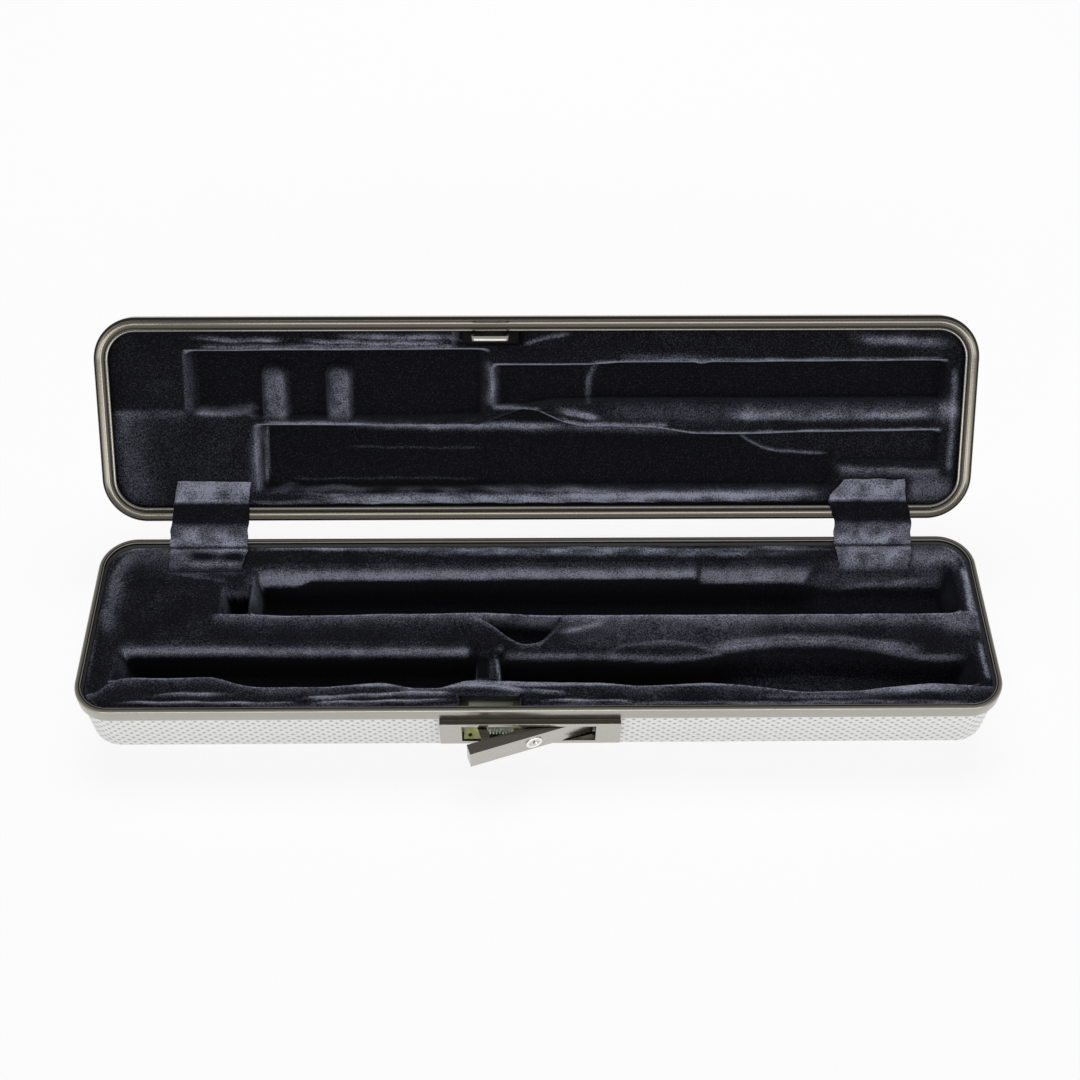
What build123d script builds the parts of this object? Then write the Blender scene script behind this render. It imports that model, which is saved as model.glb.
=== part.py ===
from build123d import *
import os
from math import cos, radians, sin, tan

os.makedirs("parts", exist_ok=True)

# Flute case in millimetres, lid thrown back. The origin is on the table under the middle of the
# base: +X runs along the case, +Y to the hinges, +Z up. Left and right are seen from the latch.

# Outer size
case_length = 426.0
case_width = 100.0
base_height = 37.0
lid_height = 25.0
base_corner = 17.0
lid_corner = 21.0
base_edge_radius = 7.0
lid_edge_radius = 8.0
draft = 2.0
wall = 2.0

# Metal rims
rim_skin = 1.2
rim_skirt = 6.8
rim_plate = 1.6
base_rim_width = 3.0
lid_rim_width = 7.2
rim_edge_radius = 0.6
groove_width = 0.5
groove_depth = 0.5
base_groove_inset = 1.9
lid_groove_inset = 5.4
rim_gap = 0.3

# Hinges
open_angle = 127.45
hinge_offset = 4.5
hinge_rise = 0.5
knuckle_radius = 2.5
hinge_pin_radius = 1.1
hinge_clearance = 0.05
knuckle_length = 9.0
knuckle_gap = 0.3
leaf_length = 30.0
leaf_height = 6.0
leaf_edge_gap = 0.4
leaf_thickness = 0.9
web_thickness = 1.0
hinge_left_inset = 51.5
hinge_right_inset = 48.5
hinge_rivet_radius = 1.0
hinge_rivet_head = 1.5
hinge_rivet_from_edge = 2.0
hinge_rivet_head_height = 0.6
hinge_rivet_spacing = 10.0

# Velvet straps over the hinges
strap_width = 38.0
strap_thickness = 1.0
strap_clearance = 0.3
strap_slack = 0.4
strap_base_tail = 8.0
strap_lid_tail = 12.0
strap_bend = 1.3
base_rim_step = 2.0
lid_rim_step = 2.0

# Linings and what they stand on
lining_gap = 0.3
base_lining_drop = 2.5
lid_lining_drop = 3.0
lining_roll = 2.0
board_thickness = 6.0
lid_lining_thickness = 13.0
spacer_width = 8.0

# Base channels, measured from the lining's edges
end_wall = 9.5
left_end_wall = 14.5
rear_wall = 8.5
body_channel_length = 335.0
body_channel_width = 31.0
body_channel_floor = 12.0
neck_length = 14.0
neck_width = 15.0
neck_pillar = 4.0
mid_ridge_width = 21.0
mid_ridge_drop = 2.0
foot_channel_length = 165.0
foot_channel_width = 18.0
foot_channel_floor = 13.0
divider_width = 11.0
divider_drop = 7.0
head_channel_width = 19.0
head_channel_floor = 14.0
crown_length = 90.0
crown_width = 29.0
crown_from_end = 72.0
crown_floor = 17.0
scoop_length = 34.0
scoop_from_divider = 3.0
scoop_floor = 22.0
channel_corner = 5.0
pocket_corner = 1.0

# Lid recesses, measured from the lining's edges
lid_recess_depth = 10.0
lid_end_wall = 14.5
lid_rear_wall = 9.5
lid_body_length = 329.0
lid_body_width = 33.0
lid_ledge_length = 48.0
lid_ledge_width = 13.0
lid_mid_ridge_width = 9.5
lid_foot_inset = 42.0
lid_foot_length = 137.0
lid_foot_width = 27.5
lid_divider_width = 11.0
lid_head_width = 20.0
pad_width = 13.0
pad_height = 6.0
pad_length = 22.0
pad_inset = 34.5
pad_pitch = 31.0

# Latch on the front wall
window_x = -5.15
window_length = 61.3
window_height = 12.2
frame_left_end = 10.2
frame_right_end = 11.5
latch_frame_height = 16.8
latch_frame_depth = 5.0
latch_proud = 3.0
frame_gap = 0.1
frame_corner = 0.6
frame_edge_radius = 0.4
housing_overlap = 1.4
housing_wall = 1.0
housing_depth = 10.5
housing_clearance = 0.3
frame_rivet_radius = 1.5
frame_rivet_head = 2.6
frame_rivet_head_height = 0.8
frame_rivet_inset = 4.2
frame_rivet_reach = 2.5
rivet_clearance = 0.05

# Lever, turning on an upright pin
lever_open_angle = 18.2
lever_clearance = 0.6
lever_depth = 5.4
lever_left_gap = 0.2
lever_right_gap = 0.8
lever_skin = 1.0
lever_end_radius = 2.0
lever_hub_radius = 2.6
lever_pin_radius = 1.0
lever_pin_clearance = 0.05
pivot_from_window_end = 16.0
crank_radius = 5.0
crank_thickness = 1.0
crank_width = 2.6
crank_pin_radius = 0.8
finger_width = 4.0
finger_side = 3.7
finger_reach = 8.2

# Key lock in the lever
lock_from_pivot = 14.7
lock_housing_radius = 3.4
lock_collar_radius = 3.9
lock_collar_height = 0.5
collar_edge_radius = 0.3
lock_plug_radius = 2.4
lock_plug_clearance = 0.05
lock_length = 6.6
key_slot_length = 3.2
key_slot_width = 0.8
key_slot_depth = 3.0
cam_length = 4.8
cam_width = 2.4
cam_thickness = 1.0
cam_gap = 0.2
cam_stub_radius = 1.2

# Slide on the housing floor, and the spring that pops the lever ajar
slide_thickness = 0.4
slide_clearance = 0.1
slide_end_gap = 0.7
slide_plate_length = 8.5
slide_plate_lead = 1.3
slide_strip_width = 5.0
slide_strip_tail = 4.0
slide_hole_radius = 1.0
slide_hole_lead = 3.3
slide_hole_inset = 2.9
slide_slot_clearance = 0.12
slide_slot_length = 2.6
slide_tab_height = 7.0
slide_tab_width = 4.8
slide_tab_thickness = 0.7
slide_travel = 2.4
spring_lead = 3.8
spring_drop = 1.8
spring_radius = 2.4
spring_wire = 0.7
spring_clearance = 0.05
keeper_thickness = 1.0
keeper_height = 6.1
keeper_drop = 0.65
keeper_lead = 1.5
keeper_from_pivot = 22.7
keeper_lip_length = 3.3
keeper_lip_gap = 0.4
guide_pin_radius = 1.0
guide_pin_from_pivot = 14.0
guide_head_radius = 1.8
guide_head_height = 0.5

# Strike staple on the lid
strike_from_latch = -18.1
strike_from_front = 9.0
strike_span = 18.0
strike_metal = 1.5
strike_bend = 2.0
strike_depth = 2.4
strike_drop = 12.8
strike_plate_length = 27.0
strike_plate_width = 9.0
strike_plate_thickness = 1.2
strike_plate_inset = 4.0
strike_rivet_radius = 1.0
strike_rivet_inset = 3.5
strike_rivet_from_edge = 1.8
strike_pocket_length = 32.0
strike_pocket_depth = 4.0
strike_slot_length = 27.0
strike_slot_clearance = 1.2

# Derived heights and places
shell_top = base_height - rim_plate
half_length = case_length / 2
half_width = case_width / 2
slope = tan(radians(draft))
shell_inset = rim_skin + wall
lining_inset = shell_inset + lining_gap
lining_end = half_length - lining_inset
lining_side = half_width - lining_inset
lining_top = base_height - base_lining_drop
board_top = wall + board_thickness

# The lid stands open. Its own plane has its origin in the middle of the lid rim's face and its
# Z towards the top of the closed lid. lid_section is a slice of the lid, seen along the case.
hinge_y = half_width + hinge_offset
hinge_z = base_height + hinge_rise
hinge_places = {"left": hinge_left_inset - half_length, "right": half_length - hinge_right_inset}
lid_face_z = base_height + rim_gap
lid_top = base_height + lid_height - lid_face_z
face_rise = lid_face_z - hinge_z
turn_cos = cos(radians(open_angle))
turn_sin = sin(radians(open_angle))
lid_origin = Vector(
    0,
    hinge_y - hinge_y * turn_cos + face_rise * turn_sin,
    hinge_z + hinge_y * turn_sin + face_rise * turn_cos,
)
lid_plane = Plane(origin=lid_origin, x_dir=(1, 0, 0), z_dir=(0, turn_sin, turn_cos))
lid_section = Plane(origin=lid_origin, x_dir=lid_plane.y_dir, z_dir=(1, 0, 0))
lid_axis = Axis(lid_origin, lid_plane.z_dir)

# Upright planes behind each half, facing away from it: their Y points down its height
base_leaf_z = base_height - leaf_edge_gap - leaf_height / 2
lid_leaf_z = leaf_edge_gap + leaf_height / 2
base_rivet_z = base_leaf_z - leaf_height / 2 + hinge_rivet_from_edge
lid_rivet_z = lid_leaf_z + leaf_height / 2 - hinge_rivet_from_edge
base_rear_plane = Plane(origin=(0, half_width, 0), x_dir=(1, 0, 0), z_dir=(0, 1, 0))
lid_rear_plane = Plane(
    origin=lid_origin + lid_plane.y_dir * half_width, x_dir=(1, 0, 0), z_dir=lid_plane.y_dir
)
lid_front_plane = Plane(origin=lid_origin, x_dir=(1, 0, 0), z_dir=-lid_plane.y_dir)

# Latch places: the frame hangs just under the base rim's skirt
latch_top = base_height - rim_skirt - frame_gap
latch_z = latch_top - latch_frame_height / 2
latch_front = -half_width - latch_proud
latch_back = latch_front + latch_frame_depth
latch_x = window_x + (frame_right_end - frame_left_end) / 2
latch_frame_length = frame_left_end + window_length + frame_right_end
window_bottom = latch_z - window_height / 2
housing_back = latch_back + housing_depth
housing_length = window_length + 2 * housing_overlap
frame_rivet_x = latch_frame_length / 2 - frame_rivet_inset
rivet_seat = shell_inset - half_width + slope * (shell_top - latch_z + frame_rivet_head)
pivot_x = window_x + window_length / 2 - pivot_from_window_end
pivot_y = latch_front + lever_depth
lever_left_arm = window_length - pivot_from_window_end - lever_left_gap
lever_right_arm = pivot_from_window_end - lever_right_gap
lever_height = window_height - 2 * lever_clearance
strike_x = latch_x + strike_from_latch
strike_y = -half_width + strike_from_front
strike_slot_rear = strike_y + strike_depth / 2 + strike_slot_clearance
strike_plate_rear = strike_plate_inset + strike_plate_width - half_width
strike_plate_y = strike_plate_rear - strike_plate_width / 2
strike_rivet_y = strike_plate_inset + strike_rivet_from_edge - half_width


def outline(inset, corner, mode=Mode.ADD):
    """The case's plan outline, moved in from the outside by inset."""
    RectangleRounded(case_length - 2 * inset, case_width - 2 * inset, corner - inset, mode=mode)


def ring(inset, width, corner):
    """A band that follows the case's outline."""
    outline(inset, corner)
    outline(inset + width, corner, mode=Mode.SUBTRACT)


def area(left, right, front, rear, corner=channel_corner):
    """A rounded rectangle between four edges."""
    with Locations(((left + right) / 2, (front + rear) / 2)):
        RectangleRounded(right - left, rear - front, corner)


def square_area(left, right, front, rear):
    """A sharp-cornered rectangle between four edges."""
    with Locations(((left + right) / 2, (front + rear) / 2)):
        Rectangle(right - left, rear - front)


def drafted_block(plane, inset, corner, height, edge_radius):
    """A solid of the case's outline that narrows away from the plane, its far edge rolled."""
    with BuildPart() as block:
        with BuildSketch(plane):
            outline(inset, corner)
        extrude(amount=height, taper=draft)
        far_face = block.faces().sort_by(Axis(plane.origin, plane.z_dir))[-1]
        fillet(far_face.edges(), radius=edge_radius)
    return block.part


def rivet_row(height, radius):
    """The circles of both hinges' rivets, three to a leaf."""
    for hinge_x in hinge_places.values():
        with Locations((hinge_x, height)):
            with GridLocations(hinge_rivet_spacing, 0, 3, 1):
                Circle(radius)


def front_plane(y):
    """An upright plane across the case at y, looking out of the front: its Z is -Y."""
    return Plane.XZ.offset(-y)


def finish_part(builder, name):
    """Label a finished piece and write it."""
    builder.part.label = name
    export_step(builder.part, f"parts/{name}.step")


# Base shell: a drafted tray with rolled bottom edges, cut away in front for the latch
base_down = Plane(origin=(0, 0, shell_top), x_dir=(1, 0, 0), z_dir=(0, 0, -1))
base_block = drafted_block(base_down, rim_skin, base_corner, shell_top, base_edge_radius)
base_hollow = drafted_block(
    base_down, shell_inset, base_corner, shell_top - wall, base_edge_radius - wall
)

with BuildPart() as base_shell:
    add(base_block)
    add(base_hollow, mode=Mode.SUBTRACT)
    with BuildSketch(front_plane(latch_back)):
        with Locations((latch_x, latch_z)):
            Rectangle(latch_frame_length, latch_frame_height)
    extrude(amount=latch_frame_depth, mode=Mode.SUBTRACT)
    with BuildSketch(front_plane(housing_back)):
        with Locations((window_x, latch_z)):
            Rectangle(
                housing_length + 2 * (housing_wall + housing_clearance),
                window_height + 2 * (housing_wall + housing_clearance),
            )
        with Locations((latch_x, latch_z)):
            with GridLocations(2 * frame_rivet_x, 0, 2, 1):
                Circle(frame_rivet_radius + rivet_clearance)
    extrude(amount=housing_depth + latch_frame_depth, mode=Mode.SUBTRACT)

finish_part(base_shell, "base_shell")

# Base rim: a metal edge with a flat top over the shell, a skirt outside it and a fine groove
with BuildPart() as base_rim:
    with BuildSketch(Plane.XY.offset(shell_top)):
        ring(0, base_rim_width, base_corner)
    extrude(amount=rim_plate)
    with BuildSketch(Plane.XY.offset(base_height - rim_skirt)):
        ring(0, rim_skin, base_corner)
    extrude(amount=rim_skirt)
    fillet(base_rim.edges().group_by(Axis.Z)[-1], radius=rim_edge_radius)
    with BuildSketch(Plane.XY.offset(base_height - groove_depth)):
        ring(base_groove_inset, groove_width, base_corner)
    extrude(amount=groove_depth, mode=Mode.SUBTRACT)
    with BuildSketch(base_rear_plane.offset(-rim_skin)):
        rivet_row(-base_rivet_z, hinge_rivet_radius + rivet_clearance)
    extrude(amount=rim_skin, mode=Mode.SUBTRACT)

finish_part(base_rim, "base_rim")

# Floor board: plywood, glued inside the base shell under the lining
with BuildPart() as base_board:
    with BuildSketch(Plane.XY.offset(wall)):
        outline(shell_inset + base_edge_radius, base_corner)
    extrude(amount=board_thickness)

finish_part(base_board, "base_board")

# Base lining: a velvet-covered tray with a channel for each joint of the instrument
right_end = lining_end - end_wall
body_rear = lining_side - rear_wall
body_front = body_rear - body_channel_width
body_left = right_end - body_channel_length
foot_rear = body_front - mid_ridge_width
foot_front = foot_rear - foot_channel_width
foot_left = left_end_wall - lining_end
foot_right = foot_left + foot_channel_length
head_left = foot_right + divider_width
head_front = foot_front - (head_channel_width - foot_channel_width)
head_middle = head_front + head_channel_width / 2
scoop_left = foot_right + scoop_from_divider
lining_down = Plane(origin=(0, 0, lining_top), x_dir=(1, 0, 0), z_dir=(0, 0, -1))

with BuildPart() as base_lining:
    with BuildSketch(lining_down):
        outline(lining_inset, base_corner)
    extrude(amount=lining_top - board_top, taper=draft)
    fillet(base_lining.edges().group_by(Axis.Z)[-1], radius=lining_roll)
    with BuildSketch(Plane.XY.offset(lining_top - mid_ridge_drop)):
        area(body_left, right_end, head_front, body_rear)
    extrude(amount=mid_ridge_drop, mode=Mode.SUBTRACT)
    with BuildSketch(Plane.XY.offset(body_channel_floor)):
        area(body_left, right_end, body_front, body_rear)
        area(
            body_left - neck_length,
            body_left - neck_pillar,
            body_front,
            body_front + neck_width,
            channel_corner / 2,
        )
    extrude(amount=lining_top - body_channel_floor, mode=Mode.SUBTRACT)
    with BuildSketch(Plane.XY.offset(foot_channel_floor)):
        area(foot_left, foot_right, foot_front, foot_rear)
    extrude(amount=lining_top - foot_channel_floor, mode=Mode.SUBTRACT)
    with BuildSketch(Plane.XY.offset(head_channel_floor)):
        area(head_left, right_end, head_front, head_front + head_channel_width)
    extrude(amount=lining_top - head_channel_floor, mode=Mode.SUBTRACT)
    with BuildSketch(Plane.XY.offset(crown_floor)):
        with Locations((right_end - crown_from_end, head_middle)):
            Ellipse(crown_length / 2, crown_width / 2)
    extrude(amount=lining_top - crown_floor, mode=Mode.SUBTRACT)
    with BuildSketch(Plane.XY.offset(lining_top - divider_drop)):
        area(foot_right - channel_corner, head_left + channel_corner, foot_front, foot_rear)
    extrude(amount=divider_drop, mode=Mode.SUBTRACT)
    with BuildSketch(Plane.XY.offset(scoop_floor)):
        area(scoop_left, scoop_left + scoop_length, foot_rear, body_front + channel_corner)
    extrude(amount=lining_top - scoop_floor, mode=Mode.SUBTRACT)
    with BuildSketch(front_plane(housing_back + housing_clearance)):
        with Locations((window_x, latch_z)):
            Rectangle(
                housing_length + 2 * (housing_wall + housing_clearance),
                window_height + 2 * (housing_wall + housing_clearance),
            )
    extrude(amount=housing_depth, mode=Mode.SUBTRACT)
    with BuildSketch(front_plane(rivet_seat + frame_rivet_head_height + housing_clearance)):
        with Locations((latch_x, latch_z)):
            Rectangle(latch_frame_length, 2 * (frame_rivet_head + housing_clearance))
    extrude(amount=housing_depth, mode=Mode.SUBTRACT)
    with BuildSketch(Plane.XY.offset(latch_z)):
        area(
            strike_x - strike_slot_length / 2,
            strike_x + strike_slot_length / 2,
            -half_width,
            strike_slot_rear,
            pocket_corner,
        )
    extrude(amount=lining_top - latch_z, mode=Mode.SUBTRACT)

finish_part(base_lining, "base_lining")

# Lid shell: the same skin as the base, on the lid's own plane
lid_shell_plane = lid_plane.offset(rim_plate)
lid_block = drafted_block(
    lid_shell_plane, rim_skin, lid_corner, lid_top - rim_plate, lid_edge_radius
)
lid_hollow = drafted_block(
    lid_shell_plane, shell_inset, lid_corner, lid_top - rim_plate - wall, lid_edge_radius - wall
)

with BuildPart() as lid_shell:
    add(lid_block)
    add(lid_hollow, mode=Mode.SUBTRACT)

finish_part(lid_shell, "lid_shell")

# Lid rim: a wide metal face that closes on the base rim, with a groove near its inner edge
with BuildPart() as lid_rim:
    with BuildSketch(lid_plane):
        ring(0, lid_rim_width, lid_corner)
    extrude(amount=rim_plate)
    with BuildSketch(lid_plane):
        ring(0, rim_skin, lid_corner)
    extrude(amount=rim_skirt)
    fillet(lid_rim.edges().group_by(lid_axis)[0], radius=rim_edge_radius)
    with BuildSketch(lid_plane):
        ring(lid_groove_inset, groove_width, lid_corner)
    extrude(amount=groove_depth, mode=Mode.SUBTRACT)
    with BuildSketch(lid_rear_plane.offset(-rim_skin)):
        rivet_row(-lid_rivet_z, hinge_rivet_radius + rivet_clearance)
    extrude(amount=rim_skin, mode=Mode.SUBTRACT)
    with BuildSketch(lid_plane):
        with Locations((strike_x, strike_rivet_y)):
            with GridLocations(strike_plate_length - 2 * strike_rivet_inset, 0, 2, 1):
                Circle(strike_rivet_radius + rivet_clearance)
    extrude(amount=rim_plate, mode=Mode.SUBTRACT)

finish_part(lid_rim, "lid_rim")

# Lid lining: a velvet-covered tray, shallower than the base's, with a pocket for the staple
lid_floor = lid_lining_drop + lid_recess_depth
lid_back = lid_lining_drop + lid_lining_thickness
lid_right = lining_end - lid_end_wall
lid_body_rear = lining_side - lid_rear_wall
lid_body_front = lid_body_rear - lid_body_width
lid_body_left = lid_right - lid_body_length
lid_foot_rear = lid_body_front - lid_mid_ridge_width
lid_foot_front = lid_foot_rear - lid_foot_width
lid_foot_left = lid_foot_inset - lining_end
lid_foot_right = lid_foot_left + lid_foot_length
lid_head_left = lid_foot_right + lid_divider_width

with BuildPart() as lid_lining:
    with BuildSketch(lid_plane.offset(lid_lining_drop)):
        outline(lining_inset, lid_corner)
    extrude(amount=lid_lining_thickness, taper=draft)
    fillet(lid_lining.edges().group_by(lid_axis)[0], radius=lining_roll)
    with BuildSketch(lid_plane.offset(lid_lining_drop)):
        area(lid_body_left, lid_right - lid_ledge_length, lid_body_front, lid_body_rear)
        area(
            lid_right - lid_ledge_length - 2 * channel_corner,
            lid_right,
            lid_body_front,
            lid_body_rear - lid_ledge_width,
        )
        area(lid_foot_left, lid_foot_right, lid_foot_front, lid_foot_rear)
        area(lid_head_left, lid_right, lid_foot_rear - lid_head_width, lid_foot_rear)
    extrude(amount=lid_recess_depth, mode=Mode.SUBTRACT)
    with BuildSketch(lid_plane.offset(lid_floor - pad_height)):
        for number in range(2):
            pad_left = lid_foot_left + pad_inset + number * pad_pitch
            area(
                pad_left,
                pad_left + pad_width,
                lid_foot_rear - pad_length,
                lid_foot_rear + channel_corner,
            )
    extrude(amount=pad_height)
    with BuildSketch(lid_plane.offset(lid_lining_drop)):
        area(
            strike_x - strike_pocket_length / 2,
            strike_x + strike_pocket_length / 2,
            -half_width,
            strike_plate_rear + lining_gap,
            pocket_corner,
        )
    extrude(amount=strike_pocket_depth, mode=Mode.SUBTRACT)
    with BuildSketch(lid_plane):
        with Locations((strike_x, strike_plate_y)):
            Rectangle(strike_plate_length + 2 * lining_gap, strike_plate_width + 2 * lining_gap)
    extrude(amount=lid_lining_drop + strike_pocket_depth, mode=Mode.SUBTRACT)

finish_part(lid_lining, "lid_lining")

# Lid spacer: a foam frame with cross ribs that holds the lining off the lid's roof
spacer_inset = lining_inset + lid_edge_radius
spacer_length = case_length - 2 * spacer_inset
spacer_breadth = case_width - 2 * spacer_inset

with BuildPart() as lid_spacer:
    with BuildSketch(lid_plane.offset(lid_back)):
        ring(spacer_inset, spacer_width, lid_corner)
        with GridLocations(spacer_length / 4, 0, 3, 1):
            Rectangle(spacer_width, spacer_breadth - spacer_width)
    extrude(amount=lid_top - wall - lid_back)

finish_part(lid_spacer, "lid_spacer")

# Hinges: three-knuckle leaves riveted to the rims' skirts, turning on plain pins
lid_pin_z = hinge_z - lid_face_z
knuckle_pitch = knuckle_length + knuckle_gap
barrel_length = 3 * knuckle_length + 2 * knuckle_gap


def hinge_leaf(section, rear_plane, hinge_x, pin_z, leaf_z, rivet_z, web_z, knuckles):
    """A leaf flat on the skirt's outside, with a web out to each of its knuckles."""
    with BuildPart() as leaf:
        with BuildSketch(section.offset(hinge_x - leaf_length / 2)):
            with Locations((half_width + leaf_thickness / 2, leaf_z)):
                Rectangle(leaf_thickness, leaf_height)
        extrude(amount=leaf_length)
        for knuckle in knuckles:
            with BuildSketch(section.offset(hinge_x + knuckle * knuckle_pitch - knuckle_length / 2)):
                with Locations((half_width + hinge_offset / 2, web_z)):
                    Rectangle(hinge_offset, web_thickness)
                with Locations((hinge_y, pin_z)):
                    Circle(knuckle_radius)
                    Circle(hinge_pin_radius + hinge_clearance, mode=Mode.SUBTRACT)
            extrude(amount=knuckle_length)
        with BuildSketch(rear_plane):
            with Locations((hinge_x, -rivet_z)):
                with GridLocations(hinge_rivet_spacing, 0, 3, 1):
                    Circle(hinge_rivet_radius + rivet_clearance)
        extrude(amount=leaf_thickness, mode=Mode.SUBTRACT)
    return leaf


for side, hinge_x in hinge_places.items():
    base_leaf = hinge_leaf(
        Plane.YZ,
        base_rear_plane,
        hinge_x,
        hinge_z,
        base_leaf_z,
        base_rivet_z,
        hinge_z - knuckle_radius + web_thickness / 2,
        (-1, 1),
    )
    finish_part(base_leaf, f"hinge_base_leaf_{side}")
    lid_leaf = hinge_leaf(
        lid_section,
        lid_rear_plane,
        hinge_x,
        lid_pin_z,
        lid_leaf_z,
        lid_rivet_z,
        lid_pin_z + knuckle_radius - web_thickness / 2,
        (0,),
    )
    finish_part(lid_leaf, f"hinge_lid_leaf_{side}")

    with BuildPart() as hinge_pin:
        with BuildSketch(Plane.YZ.offset(hinge_x - barrel_length / 2)):
            with Locations((hinge_y, hinge_z)):
                Circle(hinge_pin_radius)
        extrude(amount=barrel_length)
    finish_part(hinge_pin, f"hinge_pin_{side}")

# Hinge rivets: dome heads on the leaves, shanks through leaf and skirt
for name, rear_plane, row_z in (
    ("hinge_base_rivets", base_rear_plane, base_rivet_z),
    ("hinge_lid_rivets", lid_rear_plane, lid_rivet_z),
):
    with BuildPart() as rivets:
        with BuildSketch(rear_plane.offset(-rim_skin)):
            rivet_row(-row_z, hinge_rivet_radius)
        extrude(amount=rim_skin + leaf_thickness)
        with BuildSketch(rear_plane.offset(leaf_thickness)):
            rivet_row(-row_z, hinge_rivet_head)
        extrude(amount=hinge_rivet_head_height)
    finish_part(rivets, name)

# Hinge straps: velvet bands from the base lining over the knuckles to the lid lining
lid_inner_y = half_width - lid_rim_width
base_inner_y = half_width - base_rim_width
strap_z = lining_top + strap_clearance
crest = (knuckle_radius + strap_clearance + strap_slack) * sin(radians(45))
strap_path = [
    (base_inner_y - strap_base_tail, strap_z),
    (base_inner_y - base_rim_step, strap_z),
    (base_inner_y - strap_clearance, base_height + strap_clearance),
    (half_width, base_height + strap_clearance),
    (hinge_y - crest, hinge_z + crest),
]
lid_strap_path = [
    (half_width, -strap_clearance),
    (lid_inner_y - strap_clearance, -strap_clearance),
    (lid_inner_y - lid_rim_step, lid_lining_drop - strap_clearance),
    (lid_inner_y - strap_lid_tail, lid_lining_drop - strap_clearance),
]
for lid_y, lid_z in lid_strap_path:
    place = lid_section.from_local_coords((lid_y, lid_z, 0))
    strap_path.append((place.Y, place.Z))

for side, hinge_x in hinge_places.items():
    with BuildPart() as hinge_strap:
        with BuildSketch(Plane.YZ.offset(hinge_x - strap_width / 2)):
            with BuildLine():
                FilletPolyline(*strap_path, radius=strap_bend)
                offset(amount=strap_thickness, side=Side.LEFT)
            make_face()
        extrude(amount=strap_width)
    finish_part(hinge_strap, f"hinge_strap_{side}")

# Latch frame: a thick rectangular bezel with the lever's window, riveted from inside
pivot_place = (pivot_x, pivot_y)
pin_length = window_height + 2 * housing_wall

with BuildPart() as latch_frame:
    with BuildSketch(front_plane(latch_back)):
        with Locations((latch_x, latch_z)):
            RectangleRounded(latch_frame_length, latch_frame_height, frame_corner)
        with Locations((window_x, latch_z)):
            Rectangle(window_length, window_height, mode=Mode.SUBTRACT)
    extrude(amount=latch_frame_depth)
    fillet(latch_frame.edges().group_by(Axis.Y)[0], radius=frame_edge_radius)
    with BuildSketch(front_plane(latch_back)):
        with Locations((latch_x, latch_z)):
            with GridLocations(2 * frame_rivet_x, 0, 2, 1):
                Circle(frame_rivet_radius + rivet_clearance)
    extrude(amount=frame_rivet_reach, mode=Mode.SUBTRACT)
    with BuildSketch(Plane.XY.offset(window_bottom - housing_wall)):
        with Locations(pivot_place):
            Circle(lever_pin_radius + lever_pin_clearance)
    extrude(amount=pin_length, mode=Mode.SUBTRACT)

finish_part(latch_frame, "latch_frame")

with BuildPart() as latch_rivets:
    with BuildSketch(front_plane(rivet_seat)):
        with Locations((latch_x, latch_z)):
            with GridLocations(2 * frame_rivet_x, 0, 2, 1):
                Circle(frame_rivet_radius)
    extrude(amount=rivet_seat - latch_back + frame_rivet_reach)
    with BuildSketch(front_plane(rivet_seat + frame_rivet_head_height)):
        with Locations((latch_x, latch_z)):
            with GridLocations(2 * frame_rivet_x, 0, 2, 1):
                Circle(frame_rivet_head)
    extrude(amount=frame_rivet_head_height)

finish_part(latch_rivets, "latch_rivets")

# Latch housing: a pressed box behind the window that carries the lever's pin and the slide
guide_x = pivot_x - guide_pin_from_pivot
crank_x = pivot_x - crank_radius * sin(radians(lever_open_angle))
crank_y = pivot_y + crank_radius * cos(radians(lever_open_angle))

with BuildPart() as latch_housing:
    with BuildSketch(front_plane(housing_back)):
        with Locations((window_x, latch_z)):
            Rectangle(housing_length + 2 * housing_wall, window_height + 2 * housing_wall)
    extrude(amount=housing_depth)
    with BuildSketch(front_plane(housing_back - housing_wall)):
        with Locations((window_x, latch_z)):
            Rectangle(housing_length, window_height)
    extrude(amount=housing_depth, mode=Mode.SUBTRACT)
    with BuildSketch(Plane.XY.offset(latch_z)):
        with Locations((strike_x, strike_y)):
            Rectangle(
                strike_span + 2 * strike_slot_clearance, strike_depth + 2 * strike_slot_clearance
            )
    extrude(amount=window_height, mode=Mode.SUBTRACT)
    with BuildSketch(Plane.XY.offset(window_bottom - housing_wall)):
        with Locations(pivot_place):
            Circle(lever_pin_radius + lever_pin_clearance)
    extrude(amount=pin_length, mode=Mode.SUBTRACT)
    with BuildSketch(Plane.XY.offset(window_bottom - housing_wall)):
        with Locations((guide_x, crank_y)):
            Circle(guide_pin_radius + rivet_clearance)
    extrude(amount=housing_wall, mode=Mode.SUBTRACT)

finish_part(latch_housing, "latch_housing")

with BuildPart() as lever_pin:
    with BuildSketch(Plane.XY.offset(window_bottom - housing_wall)):
        with Locations(pivot_place):
            Circle(lever_pin_radius)
    extrude(amount=pin_length)

finish_part(lever_pin, "lever_pin")

# Latch lever: a folded bar flush with the frame when shut, standing ajar. It has a finger that
# goes through the lid's staple, and a crank under its hub that works the slide.
lever_plane = Plane(
    origin=(pivot_x, pivot_y, latch_z),
    x_dir=(cos(radians(lever_open_angle)), sin(radians(lever_open_angle)), 0),
    z_dir=(0, 0, 1),
)
lever_bottom = lever_plane.offset(-lever_height / 2)
lock_plane = Plane(
    origin=lever_plane.from_local_coords((-lock_from_pivot, -lever_depth, 0)),
    x_dir=lever_plane.x_dir,
    z_dir=-lever_plane.y_dir,
)
finger_x = strike_x - finger_side - pivot_x

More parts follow.
